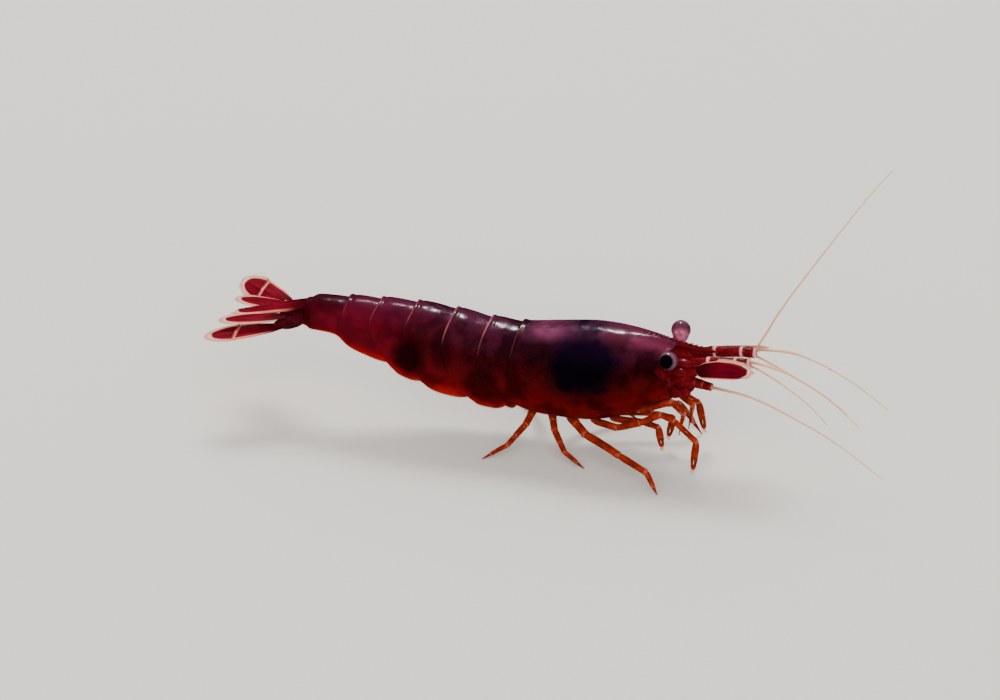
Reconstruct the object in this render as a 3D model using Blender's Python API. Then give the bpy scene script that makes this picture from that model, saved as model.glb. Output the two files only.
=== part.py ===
"""Adult female dwarf aquarium shrimp, standing on its three pairs of walking legs.

Sizes are in millimetres and are turned to metres by MM. While it is built, x = 0 is the middle of the
carapace and the head points along +X, y = 0 is the animal's plane of symmetry with its left side at +Y,
and z = 0 is the floor. The last step puts the origin at the middle of the whole model's footprint.
"""

import math
from collections import namedtuple

import bmesh
import bpy
from mathutils import Matrix, Vector

MM = 0.001

# --- Driving dimensions ------------------------------------------------------------------------------
SEAM = 0.06  # gap that parts one shell plate or limb from the next
PLATE = 0.5  # thickness of a fin, a side plate's edge or a feeler

Station = namedtuple("Station", "x top half_width widest hem hem_half")
# The body from tail to head: dorsal line, half width and the height where it is widest, and the lower
# edge of the side plates with its distance from the middle.
BODY = [
    Station(-15.2, 6.18, 0.72, 5.56, 4.90, 0.50),
    Station(-13.4, 6.44, 0.92, 5.65, 4.66, 0.66),
    Station(-12.3, 6.54, 1.06, 5.50, 4.20, 0.82),
    Station(-11.0, 6.62, 1.26, 5.30, 3.78, 1.00),
    Station(-9.3, 6.69, 1.50, 4.95, 3.08, 1.15),
    Station(-7.8, 6.65, 1.67, 4.60, 2.62, 1.25),
    Station(-6.3, 6.50, 1.79, 4.30, 2.34, 1.32),
    Station(-4.8, 6.34, 1.85, 4.15, 2.14, 1.32),
    Station(-3.4, 6.36, 1.91, 4.10, 2.20, 1.22),
    Station(-1.8, 6.60, 2.00, 4.15, 2.02, 1.05),
    Station(0.3, 6.88, 2.06, 4.30, 2.06, 1.00),
    Station(1.9, 6.84, 1.92, 4.50, 2.52, 0.95),
    Station(3.4, 6.58, 1.64, 4.85, 3.33, 0.90),
    Station(4.6, 6.24, 1.32, 5.10, 4.02, 0.80),
]

# Borders between the plates: where one crosses the back, where it reaches the lower edge, and how far
# it sags towards the tail between the two.
Border = namedtuple("Border", "back edge sag")
BORDERS = [
    Border(-14.95, -15.10, 0.0),  # behind abdomen_6
    Border(-12.40, -12.85, 0.10),
    Border(-10.75, -10.00, 0.45),
    Border(-8.90, -8.40, 0.45),
    Border(-6.90, -5.75, 0.45),
    Border(-5.05, -4.05, 0.40),
    Border(-3.43, -3.55, 0.20),  # behind the carapace
    Border(4.45, 4.30, 0.75),  # front of the carapace, hollowed for the eyes
]
ORBIT_DEPTH_SHARE = 0.62  # the front's hollow ends this far down the side

UPPER_STEPS = 6  # outline points from the back to the widest place
LOWER_STEPS = 4  # and from there to the lower edge
UPPER_SHARE = 0.55  # share of the body's depth that lies above the widest place
LOBE_RISE = 0.32  # a side plate's lower corners stand this much above its middle
PLATE_SWELL = 0.018  # a plate swells by this share between its edges
CHANNEL = 0.9  # depth of the hollow between the abdomen's side plates
CHANNEL_END = -12.7  # the hollow runs out here, at the last side plates
THORAX_CHANNEL = 0.42

SWIMMER_X = [-4.45, -5.75, -7.35, -9.2, -11.05]  # roots of the five pairs of swimming legs

# --- Helpers -----------------------------------------------------------------------------------------


def clear_scene():
    for obj in list(bpy.data.objects):
        bpy.data.objects.remove(obj, do_unlink=True)


def new_collection(name):
    made = bpy.data.collections.new(name)
    bpy.context.scene.collection.children.link(made)
    return made


def shell_material(name, colour, roughness):
    material = bpy.data.materials.new(name)
    material.use_nodes = True
    shader = material.node_tree.nodes["Principled BSDF"]
    shader.inputs["Base Color"].default_value = (*colour, 1.0)
    shader.inputs["Roughness"].default_value = roughness
    shader.inputs["Metallic"].default_value = 0.0
    return material


def place(obj, collection, material=None):
    """Links an object to one collection and gives it its material and smooth shading."""
    for holder in list(obj.users_collection):
        holder.objects.unlink(obj)
    collection.objects.link(obj)
    if material:
        obj.data.materials.clear()
        obj.data.materials.append(material)
    if obj.type == "MESH":
        obj.data.shade_smooth()
        obj.data.set_sharp_from_angle(angle=math.radians(40))
    return obj


def mesh_object(name, points, faces, collection, material):
    """A mesh from points in millimetres."""
    bm = bmesh.new()
    verts = [bm.verts.new(Vector(point) * MM) for point in points]
    for face in faces:
        bm.faces.new([verts[i] for i in face])
    bmesh.ops.recalc_face_normals(bm, faces=bm.faces)
    mesh = bpy.data.meshes.new(name)
    bm.to_mesh(mesh)
    bm.free()
    return place(bpy.data.objects.new(name, mesh), collection, material)


def mix(a, b, t):
    return a + (b - a) * t


def body_at(x):
    """The body's section at x, on a smooth curve through the stations."""
    x = min(max(x, BODY[0].x), BODY[-1].x)
    i = max(k for k in range(len(BODY) - 1) if BODY[k].x <= x)
    before, a = BODY[max(i - 1, 0)], BODY[i]
    b, after = BODY[i + 1], BODY[min(i + 2, len(BODY) - 1)]
    t = (x - a.x) / (b.x - a.x)
    values = []
    for p0, p1, p2, p3 in zip(before, a, b, after):
        slope_a = (p2 - p0) * (b.x - a.x) / max(b.x - before.x, 1e-6)
        slope_b = (p3 - p1) * (b.x - a.x) / max(after.x - a.x, 1e-6)
        values.append(
            (2 * t**3 - 3 * t**2 + 1) * p1
            + (t**3 - 2 * t**2 + t) * slope_a
            + (3 * t**2 - 2 * t**3) * p2
            + (t**3 - t**2) * slope_b
        )
    return Station(*values)


# --- Shell plates ------------------------------------------------------------------------------------


def half_outline():
    """Places on the right half of a section: which stretch, how far along it, and the depth it lies at."""
    places = []
    for i in range(UPPER_STEPS + 1):
        turn = math.pi / 2 * i / UPPER_STEPS
        places.append(("upper", turn, UPPER_SHARE * (1 - math.cos(turn))))
    for i in range(1, LOWER_STEPS + 1):
        t = i / LOWER_STEPS
        places.append(("lower", t, UPPER_SHARE + (1 - UPPER_SHARE) * t))
    places.append(("inner edge", 1.0, 1.0))
    places.append(("roof", 1.0, 0.8))
    return places


OUTLINE = half_outline()
RING = 2 * len(OUTLINE) - 1


def border_x(border, depth):
    """Where a border lies at a depth from 0, on the back, to 1, at the lower edge."""
    sag = border.sag * math.sin(math.pi * depth)
    if border is BORDERS[-1]:
        sag = border.sag * math.sin(math.pi * min(depth / ORBIT_DEPTH_SHARE, 1.0))
    return mix(border.back, border.edge, depth**2) - sag


def outline_point(spot, rear, front, u, channel, lobe):
    """A point of a plate: on its outline at spot, and u of the way from its rear edge to its front."""
    stretch, t, depth = spot
    x = mix(rear(depth), front(depth), u)
    body = body_at(x)
    hem = body.hem + lobe(u)
    grow = 1 + PLATE_SWELL * (1 - (2 * u - 1) ** 4)
    if stretch == "upper":
        y = body.half_width * math.sin(t)
        z = body.widest + (body.top - body.widest) * math.cos(t)
        return x, y * grow, body.widest + (z - body.widest) * grow
    if stretch == "lower":
        y = mix(body.half_width, body.hem_half, t * t)
        return x, y * grow, mix(body.widest, hem, t)
    inner = max(body.hem_half - PLATE, 0.1)
    if stretch == "inner edge":
        return x, inner, hem
    return x, inner, hem + channel(x)


def plate(name, rear_border, front_border, steps, channel, lobe, collection, material):
    """A closed plate of the body between two borders, with a gap of SEAM to the next one."""

    def rear(depth):
        return border_x(rear_border, depth) + SEAM / 2

    def front(depth):
        return border_x(front_border, depth) - SEAM / 2

    points = []
    for step in range(steps + 1):
        half = [outline_point(s, rear, front, step / steps, channel, lobe) for s in OUTLINE]
        points += half
        points += [(x, -y, z) for x, y, z in reversed(half[1:])]
    faces = []
    for step in range(steps):
        a, b = step * RING, (step + 1) * RING
        for i in range(RING):
            j = (i + 1) % RING
            faces.append((a + i, b + i, b + j, a + j))
    for first in (0, steps * RING):
        faces += end_faces(first)
    return mesh_object(name, points, faces, collection, material)


def end_faces(first):
    """Closes a plate's end: a ladder across the body, then the two side plates below its hollow."""
    roof = len(OUTLINE) - 1
    inner, edge = roof - 1, roof - 2
    ladder_end = UPPER_STEPS + 1

    def right(i):
        return first + i

    def left(i):
        return first + (RING - i) % RING

    faces = [(right(0), right(1), left(1))]
    for i in range(1, ladder_end):
        faces.append((right(i), right(i + 1), left(i + 1), left(i)))
    faces.append((right(ladder_end), right(roof), left(roof), left(ladder_end)))
    for side in (right, left):
        for i in range(ladder_end, edge - 1):
            faces.append((side(i), side(i + 1), side(roof)))
        faces.append((side(edge - 1), side(inner), side(roof)))
        faces.append((side(edge - 1), side(edge), side(inner)))
    return faces


def abdomen_channel(x):
    run_out = min(max((x - CHANNEL_END) / 1.2, 0.0), 1.0)
    return mix(0.1, CHANNEL, run_out)


def build_abdomen(collection, material):
    for i in range(6):
        last = i == 0
        plate(
            f"abdomen_{6 - i}",
            BORDERS[i],
            BORDERS[i + 1],
            4,
            abdomen_channel,
            lambda u, last=last: LOBE_RISE * (0.5 * u * u if last else abs(2 * u - 1) ** 3),
            collection,
            material,
        )


def carapace_lobe(u):
    return LOBE_RISE * max(1 - u / 0.15, 0.0) ** 2


def build_carapace(collection, material):
    return plate(
        "carapace",
        BORDERS[6],
        BORDERS[7],
        12,
        lambda x: THORAX_CHANNEL,
        carapace_lobe,
        collection,
        material,
    )


# --- Other solids ------------------------------------------------------------------------------------


def loft(name, rings, collection, material):
    """A closed solid through rings of points, each ring flat and with as many points as the others."""
    count = len(rings[0])
    points = [point for ring in rings for point in ring]
    faces = [tuple(range(count)), tuple(range(len(points) - count, len(points)))]
    for k in range(len(rings) - 1):
        for i in range(count):
            j = (i + 1) % count
            faces.append((k * count + i, (k + 1) * count + i, (k + 1) * count + j, k * count + j))
    return mesh_object(name, points, faces, collection, material)


def rounded_ring(x, middle, half_width, top, bottom, sides=10):
    """An upright ring at x whose widest place is at height middle."""
    ring = []
    for i in range(sides):
        turn = 2 * math.pi * i / sides
        up = math.cos(turn)
        reach = (top - middle) if up > 0 else (middle - bottom)
        ring.append((x, half_width * math.sin(turn), middle + reach * up))
    return ring


def apply_modifiers(obj):
    """Replaces an object's mesh or curve by what its modifiers make of it."""
    graph = bpy.context.evaluated_depsgraph_get()
    mesh = bpy.data.meshes.new_from_object(obj.evaluated_get(graph))
    bm = bmesh.new()
    bm.from_mesh(mesh)
    bmesh.ops.remove_doubles(bm, verts=bm.verts, dist=1e-7)
    bm.to_mesh(mesh)
    bm.free()
    made = bpy.data.objects.new(obj.name, mesh)
    made.matrix_world = obj.matrix_world.copy()
    name = obj.name
    collection = obj.users_collection[0]
    materials = [slot.material for slot in obj.material_slots]
    bpy.data.objects.remove(obj, do_unlink=True)
    made.name = name
    return place(made, collection, materials[0] if materials else None)


def grown_copy(obj, cutters, shift=(0, 0, 0), grow=0.0):
    """A hidden copy, moved by shift and swollen by grow along its normals, to cut a neighbour with."""
    copy = bpy.data.objects.new(obj.name + "_cutter", obj.data.copy())
    copy.matrix_world = Matrix.Translation(Vector(shift) * MM) @ obj.matrix_world
    copy.hide_render = True
    copy.display_type = "WIRE"
    cutters.objects.link(copy)
    if grow:
        normals = [vert.normal.copy() for vert in copy.data.vertices]
        for vert, normal in zip(copy.data.vertices, normals):
            vert.co += normal * grow * MM
    return copy


def cut_by(obj, *cutter_objects):
    for cutter in cutter_objects:
        modifier = obj.modifiers.new("Cut by " + cutter.name, "BOOLEAN")
        modifier.operation = "DIFFERENCE"
        modifier.solver = "EXACT"
        modifier.object = cutter
    return apply_modifiers(obj)


def build_head(carapace, cutters, collection, material):
    """The front of the head that carries the eyes and both pairs of feelers, set in the carapace."""
    rings = [
        rounded_ring(3.0, 5.1, 0.80, 6.05, 4.15),
        rounded_ring(4.3, 5.1, 0.88, 6.10, 4.20),
        rounded_ring(5.0, 5.1, 0.98, 6.05, 4.40),
        rounded_ring(5.38, 5.15, 0.88, 5.95, 4.62),
    ]
    head = loft("head", rings, collection, material)
    return cut_by(head, grown_copy(carapace, cutters, shift=(SEAM, 0, 0)))


def build_mouthparts(carapace, head, cutters, collection, material):
    bpy.ops.mesh.primitive_uv_sphere_add(segments=12, ring_count=8, location=Vector((4.62, 0, 4.1)) * MM)
    lump = bpy.context.object
    lump.name = "mouthparts"
    lump.scale = Vector((0.72, 0.55, 0.5)) * MM
    bpy.ops.object.transform_apply(location=True, rotation=False, scale=True)
    place(lump, collection, material)
    return cut_by(
        lump,
        grown_copy(carapace, cutters, shift=(SEAM, 0, 0)),
        grown_copy(head, cutters, shift=(0, 0, -SEAM)),
    )


def sternum_bottom(x):
    return body_at(x).hem + 0.02


def build_sternum(collection, material):
    """The keel between the carapace's lower edges, which carries the legs."""
    rings = []
    rear, front, steps = -3.35, 3.85, 9
    for i in range(steps + 1):
        x = mix(rear, front, i / steps)
        body = body_at(x)
        half = body.hem_half - PLATE - SEAM
        top = body.hem + THORAX_CHANNEL - SEAM + 0.0
        bottom = sternum_bottom(x)
        rings.append(
            [(x, half, top), (x, half, mix(top, bottom, 0.6)), (x, half * 0.7, bottom)]
            + [(x, -half * 0.7, bottom), (x, -half, mix(top, bottom, 0.6)), (x, -half, top)]
        )
    return loft("sternum", rings, collection, material)


# --- Rostrum -----------------------------------------------------------------------------------------

ROSTRUM_ROOT = (2.9, 6.30)
ROSTRUM_TIP = (6.75, 6.24)
ROSTRUM_TEETH = 12
TOOTH = 0.11


def flat_outline(name, outline, thickness, collection, material):
    """A flat piece of even thickness from a closed outline in its own plane, in millimetres."""
    curve = bpy.data.curves.new(name, "CURVE")
    curve.dimensions = "2D"
    curve.fill_mode = "BOTH"
    curve.extrude = thickness / 2 * MM
    spline = curve.splines.new("POLY")
    spline.points.add(len(outline) - 1)
    for point, (u, v) in zip(spline.points, outline):
        point.co = (u * MM, v * MM, 0, 1)
    spline.use_cyclic_u = True
    obj = bpy.data.objects.new(name, curve)
    return place(obj, collection, material)


def rostrum_outline():
    """Upper edge with its row of forward-leaning teeth, then the plain lower edge."""
    (x0, z0), (x1, z1) = ROSTRUM_ROOT, ROSTRUM_TIP
    upper = []
    first_tooth = x0 + 0.35
    pitch = (x1 - 0.45 - first_tooth) / ROSTRUM_TEETH

    def ridge(x):
        t = (x - x0) / (x1 - x0)
        return mix(6.80, z1, t**1.25) - 0.02 * math.sin(math.pi * t)

    upper.append((x0, ridge(x0)))
    for i in range(ROSTRUM_TEETH):
        x = first_tooth + i * pitch
        upper.append((x, ridge(x)))
        upper.append((x + 0.8 * pitch, ridge(x + 0.8 * pitch) + TOOTH))
    upper.append((x1 - 0.45, ridge(x1 - 0.45)))
    lower = [(x1, z1 - 0.02), (x1 - 0.5, z1 - 0.12), (x1 - 1.3, z1 - 0.19), (5.0, 6.13), (4.4, 6.18)]
    return upper + [(x1, z1 + 0.02)] + lower + [(x0, z0)]


def build_rostrum(carapace, cutters, collection, material):
    blade = flat_outline("rostrum", rostrum_outline(), PLATE, collection, material)
    blade.rotation_euler = (math.pi / 2, 0, 0)
    bpy.context.view_layer.update()
    blade = apply_modifiers(blade)
    return cut_by(blade, grown_copy(carapace, cutters, shift=(SEAM, 0, SEAM)))


# --- Eyes --------------------------------------------------------------------------------------------

EYE_RADIUS = 0.49
EYES = {"left": (4.31, 1.46, 6.30), "right": (4.46, -1.46, 6.05)}
STALK_ROOT = (4.5, 0.35, 5.72)
STALK_RADIUS = 0.29


def tube(name, route, radii, collection, material, sides_level=1):
    """A closed tube along a route in millimetres, with its radius at each point."""
    curve = bpy.data.curves.new(name, "CURVE")
    curve.dimensions = "3D"
    curve.bevel_depth = MM
    curve.bevel_resolution = sides_level
    curve.use_fill_caps = True
    curve.twist_mode = "MINIMUM"
    spline = curve.splines.new("POLY")
    spline.points.add(len(route) - 1)
    for point, place_, radius in zip(spline.points, route, radii):
        point.co = (*(Vector(place_) * MM), 1)
        point.radius = radius
    return place(bpy.data.objects.new(name, curve), collection, material)


def build_eye(side, head, carapace, cutters, collection, eye_material, shell):
    centre = Vector(EYES[side])
    sign = 1 if side == "left" else -1
    bpy.ops.mesh.primitive_uv_sphere_add(
        segments=14, ring_count=8, radius=EYE_RADIUS * MM, location=centre * MM
    )
    eye = bpy.context.object
    eye.name = f"eye_{side}"
    place(eye, collection, eye_material)
    root = Vector((STALK_ROOT[0], STALK_ROOT[1] * sign, STALK_ROOT[2]))
    end = root + (centre - root) * 0.8
    stalk = tube(
        f"eyestalk_{side}",
        [root, root.lerp(end, 0.5), end],
        [STALK_RADIUS * 0.9, STALK_RADIUS, STALK_RADIUS * 1.12],
        collection,
        shell,
    )
    stalk = apply_modifiers(stalk)
    grown_eye = grown_copy(eye, cutters, grow=0)
    grown_eye.scale = Vector((1, 1, 1)) * (1 + SEAM / EYE_RADIUS)
    return cut_by(
        stalk,
        grown_copy(head, cutters, grow=SEAM),
        grown_eye,
        grown_copy(carapace, cutters, shift=(SEAM, 0, SEAM)),
    )


# --- Feelers -----------------------------------------------------------------------------------------


def smooth_route(knots, steps):
    """Evenly stepped points on a Catmull-Rom curve through the knots."""
    knots = [Vector(k) for k in knots]
    ends = [knots[0] * 2 - knots[1]] + knots + [knots[-1] * 2 - knots[-2]]
    fine = []
    for i in range(1, len(ends) - 2):
        a, b, c, d = ends[i - 1 : i + 3]
        for k in range(12):
            t = k / 12
            fine.append(
                0.5 * (2 * b + (c - a) * t + (2 * a - 5 * b + 4 * c - d) * t**2 + (3 * b - a - 3 * c + d) * t**3)
            )
    fine.append(knots[-1])
    lengths = [0.0]
    for p, q in zip(fine, fine[1:]):
        lengths.append(lengths[-1] + (q - p).length)
    route = []
    for i in range(steps + 1):
        want = lengths[-1] * i / steps
        k = max(j for j in range(len(fine) - 1) if lengths[j] <= want + 1e-9)
        span = lengths[k + 1] - lengths[k]
        route.append(fine[k].lerp(fine[k + 1], min((want - lengths[k]) / span, 1.0)))
    return route


def mirrored(points, side):
    sign = 1 if side == "left" else -1
    return [(x, y * sign, z) for x, y, z in points]


ANTENNULE_ROUTE = [(5.46, 0.6, 5.72), (6.5, 0.6, 5.95), (7.45, 0.6, 6.08), (8.25, 0.6, 6.12)]
# Knots of each feeler with y to the animal's own side: outward.
FEELERS = {
    "antennule_outer_left": [(8.33, 0.68, 6.33), (10.6, 0.95, 6.15), (13.0, 1.0, 5.1), (15.1, 0.9, 3.75)],
    "antennule_inner_left": [(8.33, 0.5, 5.8), (10.0, 0.42, 5.35), (11.8, 0.32, 4.5), (13.2, 0.3, 3.5)],
    "antennule_outer_right": [(8.33, 0.68, 6.33), (10.4, 1.3, 6.3), (12.6, 2.0, 5.6), (14.5, 2.6, 4.5)],
    "antennule_inner_right": [(8.33, 0.5, 5.8), (9.9, 0.62, 5.3), (11.4, 0.85, 4.45), (12.5, 1.05, 3.5)],
    "antenna_left": [
        (6.62, 1.12, 4.82), (7.45, 1.7, 4.82), (8.16, 2.4, 5.85),
        (9.38, 3.2, 8.06), (12.43, 4.9, 12.62), (13.92, 5.7, 14.58),
    ],
    "antenna_right": [
        (6.62, 1.12, 4.82), (8.6, 1.4, 4.7), (10.6, 1.9, 4.3), (13.4, 2.9, 3.6), (16.2, 4.4, 2.75),
    ],
}
FEELER_STEP = 0.85


def build_feelers(side, collection, shell):
    route = mirrored(ANTENNULE_ROUTE, side)
    tube(f"antennule_{side}", smooth_route(route, 6), [0.3, 0.33, 0.31, 0.33, 0.3, 0.32, 0.3], collection, shell, 2)
    for name, knots in FEELERS.items():
        if not name.endswith(side):
            continue
        knots = mirrored(knots, side)
        length = sum((Vector(b) - Vector(a)).length for a, b in zip(knots, knots[1:]))
        steps = max(int(length / FEELER_STEP), 6)
        radii = [PLATE / 2] * (steps + 1)
        tube(f"feeler_{name}", smooth_route(knots, steps), radii, collection, shell)
    base = mirrored([(5.44, 0.86, 4.84), (5.9, 0.95, 4.84), (6.22, 1.05, 4.82), (6.52, 1.1, 4.82)], side)
    tube(f"antenna_base_{side}", base, [0.34, 0.33, 0.3, 0.28], collection, shell, 2)


def leaf_outline(length, half_width, blunt, steps=9, root_half=0.16):
    """A leaf shape along +X from its narrow root: blunt above 1 puts the widest place nearer the tip."""
    edge = []
    for i in range(steps):
        t = i / steps
        edge.append((length * t, root_half + (half_width - root_half) * math.sin(math.pi * t**blunt) ** 0.75))
    rim = [(u, v) for u, v in edge] + [(length, 0)]
    return rim + [(u, -v) for u, v in reversed(edge)]


def blade(name, root, tip, outline, roll, thickness, collection, material):
    """A flat blade whose length runs from root to tip, rolled about that line."""
    made = flat_outline(name, outline, thickness, collection, material)
    along = (Vector(tip) - Vector(root)).normalized()
    across = Vector((0, 0, 1)).cross(along).normalized()
    normal = along.cross(across)
    basis = Matrix((along, across, normal)).transposed().to_4x4()
    made.matrix_world = Matrix.Translation(Vector(root) * MM) @ basis @ Matrix.Rotation(roll, 4, "X")
    bpy.context.view_layer.update()
    return apply_modifiers(made)


def build_scale(side, collection, shell):
    """The oval scale over the root of each long feeler."""
    sign = 1 if side == "left" else -1
    root, tip = mirrored([(5.46, 1.28, 5.42), (8.62, 1.45, 5.76)], side)
    blade(
        f"antenna_scale_{side}",
        root,
        tip,
        leaf_outline(3.2, 0.56, 1.05, root_half=0.26),
        -sign * math.radians(14),
        PLATE,
        collection,
        shell,
    )


# --- Tail fan ----------------------------------------------------------------------------------------

# Roots and tips of the blades. The fan is twisted a little, so its left side stands higher.
TELSON = [(-15.21, 0, 5.86), (-18.5, 0, 4.84)]
TELSON_EDGE = [(0, 0.5), (0.9, 0.48), (2.0, 0.38), (3.0, 0.29), (3.3, 0.22), (3.46, 0.0)]
FAN_ARMS = [(-15.22, 0.38, 5.16), (-15.74, 0.74, 4.98)]
INNER_BLADES = {
    "left": [(-15.84, 0.82, 5.2), (-18.75, 1.35, 4.86)],
    "right": [(-15.84, -0.82, 5.1), (-18.8, -1.3, 4.66)],
}
OUTER_BLADES = {
    "left": [(-15.8, 1.02, 5.0), (-18.95, 2.85, 5.0)],
    "right": [(-15.8, -1.02, 4.78), (-19.3, -2.3, 4.46)],
}
INNER_HALF_WIDTH = 0.48
OUTER_HALF_WIDTH = 0.74


def fan_blade(name, ends, half_width, blunt, grow, collection, shell):
    """A leaf-shaped blade of the fan, larger on every side by grow."""
    root, tip = (Vector(end) for end in ends)
    outline = leaf_outline((tip - root).length + 2 * grow, half_width + grow, blunt)
    root = root + (root - tip).normalized() * grow
    return blade(name, root, tip, outline, 0, PLATE + 2 * grow, collection, shell)


def build_tail_fan(cutters, collection, shell):
    outline = TELSON_EDGE + [(u, -v) for u, v in reversed(TELSON_EDGE[:-1])]
    blade("telson", *TELSON, outline, 0, PLATE, collection, shell)
    for side in ("left", "right"):
        tube(f"uropod_base_{side}", mirrored(FAN_ARMS, side), [0.31, 0.29], collection, shell, 2)
        inner = INNER_BLADES[side]
        fan_blade(f"uropod_inner_{side}", inner, INNER_HALF_WIDTH, 1.15, 0, collection, shell)
        room = fan_blade(f"fan_room_{side}", inner, INNER_HALF_WIDTH, 1.15, SEAM, cutters, None)
        room.hide_render = True
        room.display_type = "WIRE"
        outer = fan_blade(
            f"uropod_outer_{side}", OUTER_BLADES[side], OUTER_HALF_WIDTH, 1.25, 0, collection, shell
        )
        cut_by(outer, room)


# --- Limbs -------------------------------------------------------------------------------------------

HIP_Y = 0.36
HIP_REACH = 0.3  # half the length of keel that a hip covers
COXA_DROP = 0.3
# Walking legs: where the hip is along the body, the knee, the ankle and the foot, each with y outward.
Walker = namedtuple("Walker", "hip_x knee ankle foot")
WALKERS = {
    "leg_3_right": Walker(-0.9, (0.15, 1.38, 1.33), (3.95, 3.78, 1.0), (4.62, 4.15)),
    "leg_4_right": Walker(-1.85, (-1.5, 1.2, 1.22), (-0.7, 2.2, 0.62), (0.4, 2.5)),
    "leg_5_right": Walker(-2.8, (-2.98, 1.25, 1.38), (-3.64, 2.35, 0.66), (-4.8, 2.95)),
    "leg_3_left": Walker(-0.9, (0.3, 1.3, 1.62), (4.0, 2.4, 1.72), (5.1, 2.6)),
    "leg_4_left": Walker(-1.85, (-1.2, 1.3, 1.25), (0.65, 2.75, 0.95), (1.6, 3.2)),
    "leg_5_left": Walker(-2.8, (-2.95, 1.3, 1.4), (-3.5, 2.4, 0.95), (-4.5, 3.15)),
}
# Picking legs and the mouth legs in front of them, from hip to tip, each with y outward.
GRASPERS = {
    "cheliped_1_right": [(1.1, 0.36, 2.2), (1.35, 0.4, 1.9), (2.9, 0.6, 2.05), (3.75, 0.8, 1.98), (4.0, 0.95, 0.85)],
    "cheliped_1_left": [(1.1, 0.36, 2.2), (1.35, 0.4, 1.88), (3.0, 0.62, 1.95), (4.1, 0.75, 1.78), (3.85, 0.7, 0.6)],
    "cheliped_2_right": [
        (0.1, 0.36, 2.05), (0.4, 0.5, 1.68), (1.7, 1.05, 1.78), (2.97, 1.35, 2.4),
        (4.1, 1.6, 3.15), (4.8, 1.72, 2.98), (6.0, 1.9, 2.05), (5.85, 2.0, 0.4),
    ],
    "cheliped_2_left": [
        (0.1, 0.36, 2.05), (0.4, 0.42, 1.64), (1.7, 1.0, 1.62), (2.97, 1.25, 2.3),
        (4.3, 1.3, 2.95), (5.25, 1.35, 2.5), (5.55, 1.4, 0.9),
    ],
    "maxilliped_right": [(2.35, 0.34, 2.75), (2.65, 0.4, 2.6), (4.35, 0.5, 3.35), (5.0, 0.6, 2.85), (4.75, 0.58, 1.55)],
    "maxilliped_left": [(2.35, 0.34, 2.75), (2.65, 0.4, 2.6), (4.4, 0.5, 3.35), (5.15, 0.58, 2.75), (4.95, 0.5, 1.35)],
}


def hip_top(x):
    return min(sternum_bottom(x - HIP_REACH), sternum_bottom(x + HIP_REACH)) - SEAM


def build_walker(name, walker, collection, shell):
    """A walking leg: it drops from the keel, runs out to the ankle and steps down to a flat foot."""
    side = name.rsplit("_", 1)[1]
    hip = Vector((walker.hip_x, HIP_Y, hip_top(walker.hip_x)))
    coxa = hip + Vector((0, 0, -COXA_DROP))
    ankle = Vector(walker.ankle)
    foot = Vector((*walker.foot, 0))
    below = foot + (foot - ankle).normalized() * 0.7
    knee = Vector(walker.knee)
    route = mirrored([hip, coxa, knee, knee.lerp(ankle, 0.45), ankle, ankle.lerp(foot, 0.5), below], side)
    leg = tube(name, route, [0.29, 0.3, 0.29, 0.31, 0.28, 0.26, 0.25], collection, shell, 2)
    bpy.context.view_layer.update()
    leg = apply_modifiers(leg)
    bm = bmesh.new()
    bm.from_mesh(leg.data)
    everything = bm.verts[:] + bm.edges[:] + bm.faces[:]
    cut = bmesh.ops.bisect_plane(
        bm, geom=everything, plane_co=(0, 0, 0), plane_no=(0, 0, 1), clear_inner=True
    )["geom_cut"]
    rim = [item for item in cut if isinstance(item, bmesh.types.BMEdge)]
    bmesh.ops.contextual_create(bm, geom=rim)
    for vert in bm.verts:
        if abs(vert.co.z) < 1e-6:
            vert.co.z = 0.0
    bmesh.ops.recalc_face_normals(bm, faces=bm.faces)
    bm.to_mesh(leg.data)
    bm.free()
    return place(leg, collection, shell)


def build_grasper(name, route, collection, cutters, shell):
    """A limb that ends in a claw, parted by a slit, or in the mouth leg's blunt tip."""
    side = name.rsplit("_", 1)[1]
    hip = Vector(route[0])
    route = [Vector((hip.x, hip.y, hip_top(hip.x)))] + [Vector(point) for point in route[1:]]
    last, tip = route[-2], route[-1]
    claw = name.startswith("cheliped")
    route = route[:-1] + [last.lerp(tip, 0.35), last.lerp(tip, 0.75), tip]
    radii = [0.27] * (len(route) - 3) + ([0.29, 0.28, 0.25] if claw else [0.25, 0.25, 0.25])
    limb = tube(name, mirrored(route, side), radii, collection, shell, 2)
    bpy.context.view_layer.update()
    limb = apply_modifiers(limb)
    if not claw:
        return limb
    last, tip = (Vector(point) for point in mirrored([last, tip], side))
    along = (tip - last).normalized()
    bpy.ops.mesh.primitive_cube_add(size=1, location=tip * MM)
    slit = bpy.context.object
    slit.name = name + "_slit"
    slit.scale = Vector((0.09, 1.2, 1.1)) * MM
    slit.rotation_euler = along.to_track_quat("Z", "Y").to_euler()
    slit.hide_render = True
    slit.display_type = "WIRE"
    for holder in list(slit.users_collection):
        holder.objects.unlink(slit)
    cutters.objects.link(slit)
    bpy.context.view_layer.update()
    return cut_by(limb, slit)


def build_swimmers(collection, shell):
    """Five pairs of paddles in the hollow under the abdomen, leaning back."""
    for number, x in enumerate(SWIMMER_X, start=1):
        body = body_at(x)
        roof = body.hem + abdomen_channel(x)
        reach = 1.02 - 0.04 * number
        for side in ("left", "right"):
            sign = 1 if side == "left" else -1
            y = (body.hem_half - PLATE) / 2 * sign
            root = (x + 0.1, y, roof - SEAM - 0.22)
            tip = (x - 0.7, y * 1.05, roof - SEAM - reach)
            half = (body.hem_half - PLATE) / 2 - SEAM
            blade(
                f"pleopod_{number}_{side}",
                root,
                tip,
                leaf_outline(reach, half, 1.0, steps=6, root_half=half * 0.7),
                0,
                PLATE * 0.9,
                collection,
                shell,
            )


# --- Assembly ----------------------------------------------------------------------------------------


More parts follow.
